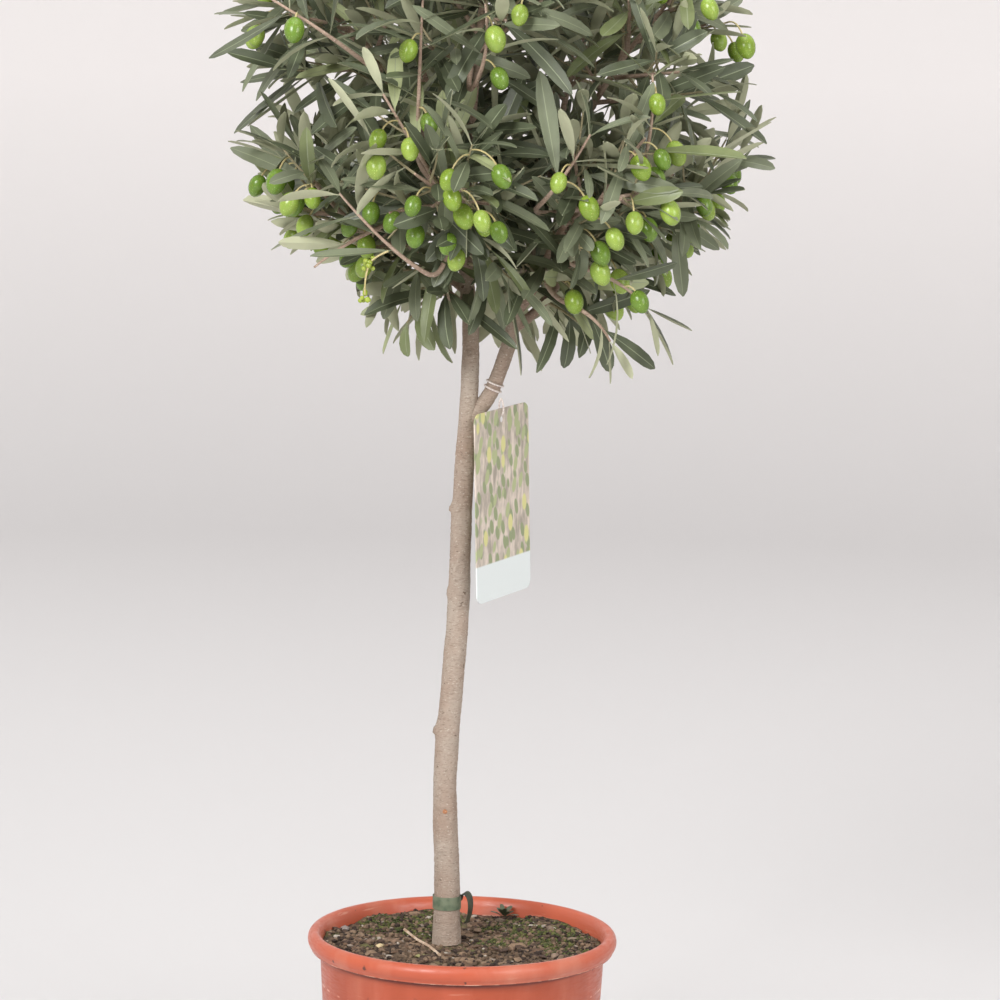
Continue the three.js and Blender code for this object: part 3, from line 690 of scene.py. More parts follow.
masses = []
for ring_number, (name, count, tilt, start, first, step, droop) in enumerate(RINGS):
    for k in range(count):
        seed = ring_number * 20 + k
        roll = dice(seed)
        turn = math.radians(start + 360 * k / count + (roll(-5, 5) if count > 1 else 0))
        rise = math.radians(tilt + (roll(-4, 4) if count > 1 else 0))
        out = Vector((math.cos(turn) * math.cos(rise), math.sin(turn) * math.cos(rise), math.sin(rise)))
        size = roll(0.97, 1.07)
        masses.append(
            {
                "name": f"{name}_{k + 1}" if count > 1 else name,
                "ring": name,
                "first": first,
                "step": step,
                "droop": droop,
                "tilt": tilt,
                "turn": turn,
                "seed": seed,
                "size": size,
                "seat": CROWN_CENTRE + times(out, CROWN_REACH) * SEAT_SHARE,
                "tip": CROWN_CENTRE + times(out, CROWN_REACH) * (TIP_SHARE * size),
            }
        )
named = {mass["name"]: mass for mass in masses}


def limb_to_mass(rows, mass, steps):
    """A limb that runs on to a mass: part of the way from its last row to the middle of the mass."""
    mass["entry"] = Vector(rows[-1][:3]).lerp(mass["seat"], BOUGH_SHARE)
    line = smooth_line([*rows, (*mass["entry"], LIMB_TIP_RADIUS)], steps)
    mass["heading"] = line[-1][1]
    return line


trunk_line = limb_to_mass(TRUNK_LINE, named["top"], 26)
right_bough_line = limb_to_mass(RIGHT_BOUGH_LINE, named["high_1"], 14)
named["top"]["limb"] = [place for place in trunk_line if place[0].z > 556]
named["high_1"]["limb"] = [place for place in right_bough_line if place[0].z > 540]


def limb_shape(line, sides):
    """The skin of a round limb, in metres: (points, faces)."""
    across = square_to(line[0][1], Vector((0.94, 0.34, 0.1)))
    points = []
    for point, heading, radius in line:
        across = square_to(heading, across)
        deep = heading.cross(across)
        for k in range(sides):
            turn = math.tau * k / sides
            points.append((point + (across * math.cos(turn) + deep * math.sin(turn)) * radius) * MM)
    return np.array(points), tube_faces(len(line), sides)


def roughen(piece, scars=()):
    """Presses the bark's relief into a limb: long shallow ridges, fine cracks and ringed scars."""
    for corner in piece.data.vertices:
        x, y, z = corner.co
        ridges = noise.noise(Vector((x * 230, y * 230, z * 46)))
        cracks = abs(noise.noise(Vector((x * 620, y * 620, z * 150 + 9))))
        lift = (0.4 * ridges + 0.2 * noise.noise(corner.co * 420) - 0.3 * max(0, 0.14 - cracks) / 0.14) * MM
        for centre, size in scars:
            away = (corner.co - centre).length / size
            lift += size * (0.5 * math.exp(-((away / 0.9) ** 2)) - 0.46 * math.exp(-((away / 0.3) ** 2)))
        corner.co += corner.normal * lift


def swept(name, places_along, resolution, closed=False, kind="POLY"):
    """A round strand swept through (point, radius) places in millimetres, as a mesh."""
    line = bpy.data.curves.new(name, "CURVE")
    line.dimensions = "3D"
    line.bevel_depth = MM
    line.bevel_resolution = resolution
    line.use_fill_caps = not closed
    run = line.splines.new(kind)
    run.points.add(len(places_along) - 1)
    for spot, (point, radius) in zip(run.points, places_along):
        spot.co = (*(Vector(point) * MM), 1)
        spot.radius = radius
    run.use_cyclic_u = closed
    run.use_endpoint_u = not closed
    run.order_u = 4
    piece = bpy.data.objects.new(name, line)
    bpy.context.scene.collection.objects.link(piece)
    pick(piece)
    bpy.ops.object.convert(target="MESH")
    bpy.ops.object.mode_set(mode="EDIT")
    bpy.ops.mesh.select_all(action="SELECT")
    bpy.ops.mesh.remove_doubles(threshold=0.01 * MM)
    bpy.ops.mesh.normals_make_consistent(inside=False)
    bpy.ops.object.mode_set(mode="OBJECT")
    return piece


def limb_piece(name, line, resolution, rings, scars=(), grown_on=()):
    """A limb swept along its line, fine enough for the bark's relief, with small pieces grown on."""
    low, high = line[0][0].z, line[-1][0].z
    fine = [at_height(line, low + (high - low) * k / rings) for k in range(rings + 1)]
    piece = swept(name, [(point, radius) for point, _, radius in fine], resolution)
    piece.data.materials.append(BARK)
    for small in grown_on:
        small.select_set(True)
    if grown_on:
        bpy.ops.object.join()
    bpy.ops.object.shade_smooth_by_angle(angle=math.radians(80))
    roughen(piece, scars)
    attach(piece, "root")
    return piece


def bark_finish(name, *tones):
    """Young olive bark: streaks of two tones, pale freckles, dark cracks. Each is (red, green, blue)."""
    first, second, freckle, dark = (paint(*tone) for tone in tones)
    material, tree, shader = new_finish(name, 0.82)
    broad = patchwork(tree, places(tree, (1, 1, 0.8)), 42, first, second, 0.36, 0.66, 5)
    ringed = patchwork(tree, places(tree, (1, 1, 3.2)), 420, broad["Color"], dark, 0.52, 0.84, 6)
    freckled = patchwork(tree, places(tree, (1, 1, 1.6)), 620, ringed["Color"], freckle, 0.62, 0.72, 2)
    pitted = patchwork(tree, places(tree, (1, 1, 1.4)), 300, freckled["Color"], dark, 0.68, 0.74, 2)
    tree.links.new(pitted["Color"], shader.inputs["Base Color"])
    emboss(tree, shader, ringed["Relief"], 0.6, 0.0009)
    return material


BARK = bark_finish("bark", (177, 163, 149), (164, 143, 127), (196, 184, 170), (116, 98, 84))
FRESH_CUT = bark_finish("fresh_cut", (206, 152, 108), (170, 112, 78), (220, 180, 140), (112, 80, 60))
scar_places = []
snags = []
for height, turn, size in SCARS:
    point, _, radius = at_height(trunk_line, height)
    out = Vector((math.cos(math.radians(turn)), math.sin(math.radians(turn)), 0))
    scar_places.append(((point + out * radius) * MM, size * MM))
    if size > STUB_LEAST:
        foot = (point + out * (radius - 3) - UP * 2, size * 0.8)
        middle = (point + out * (radius - size * 0.1), size * 0.5)
        tip = (point + out * (radius + size * 0.1) + UP, size * 0.2)
        snag = swept("snag", [foot, middle, tip], 4)
        snag.data.materials.append(BARK)
        snags.append(snag)
point, _, radius = at_height(trunk_line, NICK_HEIGHT)
nick_foot = (point - Vector((0, radius - 2, 0)), NICK_RADIUS)
nick = swept("nick", [nick_foot, (point - Vector((0, radius + 0.4, 0)), NICK_RADIUS)], 4)
nick.data.materials.append(FRESH_CUT)
snags.append(nick)
trunk = limb_piece("trunk_bark", trunk_line, 18, 620, scar_places, snags)
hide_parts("trunk")
right_bough = limb_piece("right_bough_bark", right_bough_line, 14, 220)
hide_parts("right_bough")

# The other boughs: eleven young branches that leave the trunk or the right bough and end where the
# foliage begins. Their bark is a little pinker than the trunk's.
YOUNG_BARK = bark_finish("young_bark", (172, 150, 134), (148, 126, 110), (198, 178, 160), (104, 88, 76))


def parent_of(mass):
    return right_bough_line if mass["seat"].x > 40 else trunk_line


bough_lines = []
for mass in masses:
    if "entry" in mass:
        continue
    in_ring = [other for other in masses if other["ring"] == mass["ring"]]
    beside = [other for other in in_ring if parent_of(other) is parent_of(mass)]
    order = beside.index(mass)
    place = math.ceil(len(beside) / 2) + (order - 1) // 2 if order % 2 else order // 2
    foot = at_height(parent_of(mass), mass["first"] + mass["step"] * place)[0]
    mass["entry"] = foot.lerp(mass["seat"], BOUGH_SHARE)
    lean = foot.lerp(mass["entry"], 0.62)
    lean.z = foot.z + (mass["entry"].z - foot.z) * 0.36
    line = arch_line(foot, lean, mass["entry"], BOUGH_FOOT_RADIUS, LIMB_TIP_RADIUS, 48)
    mass["heading"] = line[-1][1]
    mass["limb"] = line[12:]
    bough_lines.append(line)
    bough = swept(f"bough_{mass['name']}_bark", [(point, radius) for point, _, radius in line], 6)
    bough.data.materials.append(YOUNG_BARK)
    bpy.ops.object.shade_smooth_by_angle(angle=math.radians(80))
    roughen(bough)
    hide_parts(f"bough_{mass['name']}")
    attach(bough, "root")

# The crown's wood: in each mass a stem carries on from its limb, twigs leave it by the golden angle,
# and finer shoots leave the twigs. All of it is grown on, and it stays inside the source's crown.
TWIG_COUNT = 11
TWIG_START = 0.1  # the share of a mass's arch where the first twig leaves it
TWIG_SPAN = 0.87
TWIG_SPREAD = 74  # degrees from the arch at its foot
TWIG_SPREAD_LESS = 50
TWIG_LONGEST = 64
TWIG_SHORTEST = 10
TWIG_STEP = 4
SOURCE_LEAF = 74  # the source's own leaf, which its twigs leave room for
LEAF_ROOM = 0.55
SHOOT_SHARES = (0.3, 0.52, 0.74)  # along a twig, where finer shoots leave it
SHOOT_LENGTH = (24, 46)
SHOOT_EDGE = 0.95  # how far out a shoot may carry its leaves in the crown
SHOOT_LEAVES = 24  # how far they stand out past its tip
TWIG_EDGE = 0.86  # how far out the wood reaches in the crown
LIMB_SHOOTS = 6  # leafy shoots straight from each bough, which close the middle of the crown
LIMB_SHOOT_LENGTH = (26, 56)
for mass in masses:
    start = mass["entry"] + mass["heading"] * 0.3
    lean = start + mass["heading"] * ((start - mass["tip"]).length * 0.45)
    mass["arch"] = (start, lean, mass["tip"])
    mass["stem"] = arch_line(*mass["arch"], LIMB_TIP_RADIUS - 0.1, STEM_TIP_RADIUS, 3)


def in_crown(point, mass):
    """A place in the crown, with its edge at a distance of 1 from the middle."""
    return shares(point - CROWN_CENTRE, CROWN_REACH) / mass["size"]


def planes_of(mass):
    """The planes that part a mass from its neighbours: (normal, distance), facing inwards."""
    planes = []
    for other in masses:
        if other is not mass:
            inward = (mass["seat"] - other["seat"]).normalized()
            half = (mass["seat"] + other["seat"]) / 2
            planes.append((inward, -half.dot(inward) - SPACE_GAP))
    if mass["tilt"] < 0:
        level = math.cos(TAPER_TILT)
        turn = mass["turn"]
        inward = Vector((-math.cos(turn) * level, -math.sin(turn) * level, math.sin(TAPER_TILT)))
        planes.append((inward, TAPER_REACH - CROWN_CENTRE.dot(inward)))
    return planes


def room_along(point, heading, mass):
    """How far a point can travel along a heading before it leaves the space of its mass."""
    start = in_crown(point, mass)
    step = in_crown(point + heading, mass) - start
    half = start.dot(step) / step.length_squared
    room = math.sqrt(half * half + (1 - start.length_squared) / step.length_squared) - half
    for normal, distance in planes_of(mass):
        closing = -normal.dot(heading)
        if closing > 0:
            room = min(room, (normal.dot(point) + distance) / closing)
    return room


def clear_of_wood(point, gap, mass):
    """Is a point clear of every limb and of the stems of the other masses?"""
    stems = [other["stem"] for other in masses if other is not mass]
    for line in [trunk_line, right_bough_line, *bough_lines, *stems]:
        for (before, _, _), (here, _, radius) in zip([line[0], *line], line):
            along = here - before
            share = 0 if along.length_squared == 0 else (point - before).dot(along) / along.length_squared
            near = before + along * min(max(share, 0), 1)
            if (near - point).length <= radius + gap:
                return False
    return True


# Where the crown reaches less far than the source's. Each pair gives where a part begins and where it
# is full, in millimetres, and each share is what it takes off the reach.
LOW_HEIGHT = (655, 575)
LOW_AWAY = (50, 110)  # from the upright through the crown's centre
LOW_SHARE = 0.24
LOW_RIGHT = (10, 60)  # towards the right the foot is drawn in less
LOW_RIGHT_LESS = 0.15
SHOULDER_HEIGHT = (690, 760)
SHOULDER_RIGHT = (50, 130)
SHOULDER_SHARE = 0.12
LEFT_PLACE = (-70, -130)
LEFT_FOOT = (600, 640)
LEFT_TOP = (720, 690)
LEFT_SHARE = 0.09


def crown_edge(point, mass):
    """How near a place is to the crown's edge, 1 on it. Its foot, upper right and left are drawn in."""
    away = math.hypot(point.x - CROWN_CENTRE.x, point.y - CROWN_CENTRE.y)
    low_share = LOW_SHARE - LOW_RIGHT_LESS * smooth_step(point.x, *LOW_RIGHT)
    low = smooth_step(point.z, *LOW_HEIGHT) * smooth_step(away, *LOW_AWAY) * low_share
    shoulder = smooth_step(point.z, *SHOULDER_HEIGHT) * smooth_step(point.x, *SHOULDER_RIGHT) * SHOULDER_SHARE
    left = smooth_step(point.x, *LEFT_PLACE) * smooth_step(point.z, *LEFT_FOOT)
    left *= smooth_step(point.z, *LEFT_TOP)
    return in_crown(point, mass).length / (1 - low - shoulder - left * LEFT_SHARE)


def arch_at(arch, share):
    """The point and the heading of an arch at a share of it."""
    start, lean, end = arch
    rest = 1 - share
    point = start * rest**2 + lean * (2 * rest * share) + end * share**2
    return point, ((lean - start) * rest + (end - lean) * share).normalized()


def turned(direction, axis, turn):
    return Matrix.Rotation(turn, 3, axis) @ direction


TWIG_WOOD, SHOOT_WOOD, STALK_WOOD = 0, 1, 2
BARE_TWIG, BARE_SHOOT, BARE_STEM, BARE_LIMB_SHOOT = 0.3, 0.12, 0.62, 0.15
TWIG_SEED, SHOOT_SEED, STEM_SEED, LIMB_SHOOT_SEED, FRONT_SEED = 3000, 9000, 20000, 30000, 50000
SKEW = Vector((0.2, 0.3, 0.93))  # nearly upright, where the turns round a shoot are counted from
wood_batches = []
sprays = []  # every leafy shoot: its mass, its arch, how much of its foot is bare, and its seed


def grow(arch, foot_radius, tip_radius, steps, sides, wood):
    """Adds the wood along an arch."""
    points, faces = limb_shape(arch_line(*arch, foot_radius, tip_radius, steps), sides)
    wood_batches.append((points, faces, [wood] * len(faces)))


for mass in masses:
    roll = dice(mass["seed"] + 100)
    finer = dice(mass["seed"] + 300)
    grow(mass["arch"], LIMB_TIP_RADIUS, STEM_TIP_RADIUS * 0.6, 14, 10, TWIG_WOOD)
    turn = roll(0, math.tau)
    for k in range(TWIG_COUNT):
        share = TWIG_START + TWIG_SPAN * k / (TWIG_COUNT - 1)
        foot, along = arch_at(mass["arch"], share)
        turn += GOLDEN_ANGLE + roll(-0.3, 0.3)
        spread = math.radians(TWIG_SPREAD - TWIG_SPREAD_LESS * share + roll(-8, 8))
        side = turned(square_to(along, Vector((0.3, 0.2, 0.93))), along, turn)
        heading = along * math.cos(spread) + side * math.sin(spread)
        longest = TWIG_LONGEST * roll(0.75, 1)
        length = min(longest, room_along(foot, heading, mass) - LEAF_ROOM * SOURCE_LEAF)
        far = 2 * TWIG_STEP
        while far < length:
            if not clear_of_wood(foot + heading * far, 3, mass):
                length = far - TWIG_STEP
            far += TWIG_STEP
        if length < TWIG_SHORTEST:
            continue
        while crown_edge(foot + heading * length, mass) > TWIG_EDGE:
            length *= 0.9
        end = foot + heading * length
        bow = turned(square_to(heading, UP), heading, finer(0, math.tau)) * (finer(0.02, 0.09) * length)
        twig = (foot, foot.lerp(end, 0.5) + bow, end)
        grow(twig, 1.7, 0.85, 8, 7, TWIG_WOOD)
        sprays.append((mass, twig, BARE_TWIG, TWIG_SEED + 50 * mass["seed"] + k))
        shoot_turn = finer(0, math.tau)
        for number, place in enumerate(SHOOT_SHARES):
            foot, along = arch_at(twig, place)
            shoot_turn += GOLDEN_ANGLE
            side = turned(square_to(along, SKEW), along, shoot_turn)
            spread = math.radians(finer(32, 56))
            lift = finer(-0.2, 0.45) if mass["tilt"] < 0 else finer(0.1, 0.8)
            heading = (along * math.cos(spread) + side * math.sin(spread) + UP * lift).normalized()
            length = finer(*SHOOT_LENGTH)
            tip = foot + heading * (length + SHOOT_LEAVES)
            if crown_edge(tip, mass) > SHOOT_EDGE or not clear_of_wood(tip, 4, mass):
                length *= 0.6
            end = foot + heading * length
            lean = foot.lerp(end, 0.5) + side * (finer(0.02, 0.12) * length)
            shoot = (foot, lean, end)
            grow(shoot, 0.95, 0.55, 6, 5, SHOOT_WOOD)
            sprays.append((mass, shoot, BARE_SHOOT, SHOOT_SEED + 200 * mass["seed"] + 10 * k + number))
    sprays.append((mass, mass["arch"], BARE_STEM, STEM_SEED + mass["seed"]))
    turn = finer(0, math.tau)
    for k in range(LIMB_SHOOTS):
        foot, along, _ = mass["limb"][int((len(mass["limb"]) - 1) * (k + 0.5) / LIMB_SHOOTS)]
        turn += GOLDEN_ANGLE
        side = turned(square_to(along, SKEW), along, turn)
        spread = math.radians(finer(44, 76))
        heading = (along * math.cos(spread) + side * math.sin(spread) - UP * mass["droop"]).normalized()
        length = finer(*LIMB_SHOOT_LENGTH)
        end = foot + heading * length
        if crown_edge(end, mass) > TWIG_EDGE or not clear_of_wood(end, 3, mass):
            continue
        shoot = (foot, foot.lerp(end, 0.5) + along * (finer(0.05, 0.18) * length), end)
        grow(shoot, 1.1, 0.6, 7, 6, SHOOT_WOOD)
        sprays.append((mass, shoot, BARE_LIMB_SHOOT, LIMB_SHOOT_SEED + 20 * mass["seed"] + k))

# Shoots that show in front of the leaves: (foot, bend, tip). Each leaves the nearest wood.
FRONT_SHOOTS = [
    ((-34, -98, 660), (-33, -128, 700), (-31, -130, 752)),
    ((-66, -90, 712), (-92, -116, 732), (-124, -106, 750)),
    ((-20, -102, 638), (-36, -130, 664), (-54, -130, 694)),
    ((97, -82, 634), (110, -108, 668), (107, -104, 708)),
    ((-28, -94, 586), (-50, -118, 600), (-80, -114, 634)),
    ((40, -100, 628), (52, -124, 640), (70, -124, 672)),
    ((0, -108, 700), (10, -132, 716), (6, -136, 748)),
    ((-58, -78, 612), (-80, -92, 602), (-96, -90, 588)),
    ((66, -70, 590), (92, -82, 584), (108, -78, 566)),
    ((60, -52, 566), (78, -66, 560), (86, -64, 544)),
]
FRONT_REACH = 1.2  # their leaves may stand out this much further
front_sprays = []
for number, places_along in enumerate(FRONT_SHOOTS):
    shoot = tuple(Vector(place) for place in places_along)
    wood = [(place, mass) for mass in masses for place in (*mass["stem"], *mass["limb"])]
    (root, _, _), mass = min(wood, key=lambda pair: (pair[0][0] - shoot[0]).length)
    lean = shoot[0] - (shoot[1] - shoot[0]).normalized() * ((root - shoot[0]).length * 0.5)
    grow((root, lean, shoot[0]), 1.8, 1.5, 12, 8, TWIG_WOOD)
    grow(shoot, 1.5, 0.7, 14, 8, TWIG_WOOD)
    front_sprays.append((mass, shoot, BARE_TWIG, FRONT_SEED + number))
sprays += front_sprays

# The leaves: narrow and leathery, grey-green with a pale rib above and silvery below, in opposite
# pairs that turn a quarter from one to the next. Each grows from a short stalk on its shoot.
LEAF_LENGTH = (40, 68)
LEAF_WIDTH = (7.8, 12)
LEAF_STEP = 16.5  # from one pair to the next along a shoot
LEAF_THICKNESS = 0.45
LEAF_CLEAR = 8.5  # from the middle of a leaf to an olive
LEAF_LOWEST = 517
LEAF_SPREAD, END_SPREAD = 52, 28  # from the shoot, in degrees, and that of the pair at its tip
END_LENGTH, END_WIDTH = 0.72, 0.8  # of the pair at the tip, which is still growing
LEAF_CUTS = (1, 0.8, 0.62)  # shares of its length that a leaf may take where there is less room
LEAF_ROWS = np.array([0, 0.08, 0.2, 0.38, 0.6, 0.8, 0.93, 1.0])
LEAF_HALF_WIDTHS = np.array([0.08, 0.1, 0.48, 0.83, 1.0, 0.9, 0.58, 0.1])
LEAF_COLUMNS = np.array([-1, -0.55, -0.055, 0.055, 0.55, 1, 0])
RIB, UNDER, FIRST_BLADE = 0, 1, 2


def leaf_shape(root, heading, face, length, width, bend, fold):
    """A closed blade on rows of seven points: six across the top, one under the rib."""
    side = heading.cross(face)
    frame_axes = np.array([heading, side, face])
    arc = LEAF_ROWS * bend
    along = np.sin(arc) / bend * length
    fall = (1 - np.cos(arc)) / bend * length
    across = np.outer(LEAF_HALF_WIDTHS * width / 2, LEAF_COLUMNS)
    rise = np.abs(across) * fold - np.outer(LEAF_HALF_WIDTHS, np.abs(LEAF_COLUMNS) == 1) * 0.35
    rise[:, 6] = -LEAF_THICKNESS
    local = np.stack(
        [
            along[:, None] + rise * np.sin(arc)[:, None],
            across,
            -fall[:, None] + rise * np.cos(arc)[:, None],
        ],
        axis=-1,
    )
    return (local.reshape(-1, 3) @ frame_axes + np.array(root)) * MM


across_kinds = [FIRST_BLADE, FIRST_BLADE, RIB, FIRST_BLADE, FIRST_BLADE, UNDER, UNDER]
leaf_faces = tube_faces(len(LEAF_ROWS), len(across_kinds))
leaf_kinds = across_kinds * (len(LEAF_ROWS) - 1) + [UNDER, UNDER]


def leaf_finish(name, color, roughness, vary):
    """One leaf colour, a little lighter and darker from place to place."""
    material, tree, shader = new_finish(name, roughness)
    shade = shaded(color, vary)
    mottled = patchwork(tree, places(tree), 55, color, shade, 0.35, 0.65, 2)
    tree.links.new(mottled["Color"], shader.inputs["Base Color"])
    pores = patchwork(tree, places(tree), 900, color, shade, detail=0)
    emboss(tree, shader, pores["Relief"], 0.15, 0.0004)
    return material


LEAF_FINISHES = [
    leaf_finish("leaf_rib", paint(150, 158, 128), 0.5, 0.85),
    leaf_finish("leaf_under", paint(190, 192, 160), 0.7, 0.84),
    leaf_finish("leaf_dark", paint(96, 104, 80), 0.38, 0.68),
    leaf_finish("leaf_grey", paint(127, 134, 108), 0.42, 0.74),
    leaf_finish("leaf_green", paint(124, 134, 90), 0.38, 0.74),
    leaf_finish("leaf_young", paint(170, 178, 132), 0.45, 0.84),
]
TONE_ODDS = (0.42, 0.82, 0.94, 1.0)

# The olives: green and unripe, 16 mm long, hanging singly or in twos and threes on thin stalks from
# the older part of a shoot. The leaves keep clear of them.
OLIVE_RADIUS = 5.9
OLIVE_HALF_HEIGHT = 7.9
OLIVE_TOUCH = 2.1 * OLIVE_RADIUS  # between olives of one shoot
OLIVE_APART = 13  # between olives of different shoots
OLIVE_ROUND, OLIVE_MOST = 30, 2  # within this reach no more than two others hang
OLIVE_FROM_WOOD = 7
OLIVE_LOWEST = 556
OLIVE_MIDDLE, OLIVE_EDGE = 0.84, 1.06  # how far out in the crown the olives hang
OLIVE_FRONT = 0.66  # the same as the first, on the front shoots
deselect()
bpy.ops.mesh.primitive_uv_sphere_add(segments=14, ring_count=10, radius=1)
olive_points, olive_faces = take_shape(bpy.context.object)
olive_points[:, :2] *= (1 + 0.07 * olive_points[:, 2:])
olive_batches = []
olive_places = []
for mass, arch, bare, seed in front_sprays + sprays[: -len(front_sprays)]:
    roll = dice(seed + 40000)
    middle = OLIVE_FRONT if (mass, arch, bare, seed) in front_sprays else OLIVE_MIDDLE
    earlier = len(olive_places)
    for _ in range(2 + int(roll(0, 3.1))):
        knot, along = arch_at(arch, roll(max(bare, 0.15), 0.98))
        out = times(knot - CROWN_CENTRE, Vector((1, 1, 0))).normalized()
        side = (turned(square_to(along, UP), along, roll(-1.7, 1.7)) + out * roll(0.6, 1.6)).normalized()
        stalk = roll(10, 24)
        size = roll(0.86, 1.08)
        hang = (side * 0.45 - UP).normalized()
        top = knot + side * (stalk * 0.75) - UP * stalk * 0.5
        centre = top + hang * (OLIVE_HALF_HEIGHT * size)
        gaps = [(centre - other).length for other in olive_places]
        touching = any(gap < OLIVE_TOUCH for gap in gaps) or any(gap < OLIVE_APART for gap in gaps[:earlier])
        if touching or sum(gap < OLIVE_ROUND for gap in gaps) > OLIVE_MOST or centre.z < OLIVE_LOWEST:
            continue
        if not middle < crown_edge(centre, mass) < OLIVE_EDGE:
            continue
        if not clear_of_wood(centre, OLIVE_FROM_WOOD, mass):
            continue
        olive_places.append(centre)
        lie = square_to(hang, Vector((0.3, 0.9, 0.1)))
        axes = np.array([lie, hang.cross(lie), -hang])
        shape = olive_points * np.array([OLIVE_RADIUS, OLIVE_RADIUS, OLIVE_HALF_HEIGHT]) * size
        shape = (shape @ axes + np.array(centre)) * MM
        olive_batches.append((shape, olive_faces, [int(roll(0, 3))] * len(olive_faces)))
        grow((knot, knot + side * (stalk * 0.45), top + hang * 1.2), 0.5, 0.6, 6, 5, STALK_WOOD)


def olive_finish(name, color, pale):
    """Waxy green skin with fine pale dots."""
    material, tree, shader = new_finish(name, 0.24)
    skin = patchwork(tree, places(tree), 70, color, shaded(color, 0.8))
    dotted = patchwork(tree, places(tree), 1500, skin["Color"], pale, 0.68, 0.78, 0)
    tree.links.new(dotted["Color"], shader.inputs["Base Color"])
    shader.inputs["Subsurface Weight"].default_value = 0.08
    shader.inputs["Subsurface Scale"].default_value = 0.002
    return material


# Two heads of unset fruit, small and yellow-green, hang below the front of the crown.
UNSET_ROOT = Vector((-50, -117, 601))
UNSET_HEADS = [Vector((-62, -112, 592)), Vector((-64, -112, 573))]
UNSET_COUNT = 7
UNSET_RADIUS = 1.7
roll = dice(88)
for number, head in enumerate(UNSET_HEADS):
    for _ in range(UNSET_COUNT):
        spot = head + Vector((roll(-3, 3), roll(-3, 3), roll(-3.4, 3.4)))
        shape = olive_points * UNSET_RADIUS * roll(0.8, 1.1)
        olive_batches.append(((shape + np.array(spot)) * MM, olive_faces, [3] * len(olive_faces)))
    foot = (UNSET_HEADS[number - 1] if number else UNSET_ROOT) - UP
    grow((foot, foot.lerp(head, 0.5) + Vector((-1.5, 0, 1)), head), 0.7, 0.5, 6, 5, STALK_WOOD)
olives = joined_mesh(
    "olives",
    olive_batches,
    [
        olive_finish("olive_green", paint(138, 166, 60), paint(172, 192, 100)),
        olive_finish("olive_bright", paint(154, 180, 78), paint(182, 204, 112)),
        olive_finish("olive_deep", paint(112, 144, 52), paint(150, 176, 88)),
        olive_finish("olive_unset", paint(166, 184, 70), paint(190, 200, 110)),
    ],
    180,
)
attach(olives, "root")

TWIG_BARK = bark_finish("twig_bark", (190, 166, 148), (164, 138, 120), (210, 192, 172), (126, 104, 88))
SHOOT_BARK = bark_finish("shoot_bark", (176, 164, 132), (150, 140, 108), (198, 190, 160), (122, 112, 82))
STALK_GREEN = bark_finish("stalk_green", (214, 200, 148), (190, 176, 120), (220, 208, 160), (166, 140, 98))
twigs = joined_mesh("twigs", wood_batches, [TWIG_BARK, SHOOT_BARK, STALK_GREEN], 60)
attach(twigs, "root")

# The leaves keep clear of each olive and front shoot, and of the air before it.
AIR_BEFORE = (0, 9, 18, 27, 36)
shown = olive_places + [arch_at(shoot, k / 8)[0] for _, shoot, _, _ in front_sprays for k in range(9)]


def with_air(spots):
    """The places themselves and places further out before them, as rows."""
    outward = [times(spot - CROWN_CENTRE, Vector((1, 1, 0.4))).normalized() for spot in spots]
    pairs = zip(spots, outward)
    return np.array([(spot + out * before)[:] for spot, out in pairs for before in AIR_BEFORE])


clouds = [with_air(shown), with_air(olive_places)]
leaf_batches = {"top": [], "high": [], "low": []}
for mass, arch, bare, seed in sprays:
    roll = dice(seed)
    length = (arch[2] - arch[0]).length
    pairs = max(1, round(length * (1 - bare) / LEAF_STEP))
    at_front = (mass, arch, bare, seed) in front_sprays
    reach = roll(0.93, 1.05) * (FRONT_REACH if at_front else 1)
    cloud = clouds[at_front]
    chance = roll(0, 1)
    tone = next(number for number, odds in enumerate(TONE_ODDS) if chance <= odds)
    for pair in range(pairs + 1):
        share = min(0.985, bare + (1 - bare) * (pair + 0.5) / (pairs + 0.5))
        root, along = arch_at(arch, share)
        first = square_to(along, SKEW)
        turn = pair * math.pi / 2 + seed + roll(-0.3, 0.3)
        for way in (0, math.pi):
            spread = math.radians((END_SPREAD if pair == pairs else LEAF_SPREAD) + roll(-12, 12))
            across = turned(first, along, turn + way)
            heading = along * math.cos(spread) + across * math.sin(spread)
            heading = (heading - UP * (mass["droop"] * roll(0.4, 1.2))).normalized()
            face = square_to(heading, along + UP * 0.6)
            face = turned(face, heading, roll(-0.7, 0.7))
            size = roll(*LEAF_LENGTH) * (END_LENGTH if pair == pairs else 1)
            width = roll(*LEAF_WIDTH) * (END_WIDTH if pair == pairs else 1)
            bend = roll(-0.25, 0.75) or 0.01
            for part in LEAF_CUTS:
                tip = root + heading * (size * part)
                fits = crown_edge(tip, mass) < reach and tip.z > LEAF_LOWEST
                if fits and clear_of_wood(root + heading * (size * part * 0.6), 2, mass):
                    break
            else:
                continue
            size *= part
            spine = np.array(root) + np.outer([0.3, 0.5, 0.7], np.array(heading) * size)
            if np.min(np.linalg.norm(cloud[None] - spine[:, None], axis=2)) < LEAF_CLEAR:
                continue
            points = leaf_shape(root + heading * 0.3, heading, face, size, width, bend, roll(0.12, 0.5))
            kinds = [kind if kind != FIRST_BLADE else FIRST_BLADE + tone for kind in leaf_kinds]
            leaf_batches[mass["ring"]].append((points, leaf_faces, kinds))
for ring, batches in leaf_batches.items():
    leaves = joined_mesh(f"leaves_{ring}", batches, LEAF_FINISHES, 50)
    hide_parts(*[f"foliage_{mass['name']}" for mass in masses if mass["ring"] == ring])
    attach(leaves, "root")

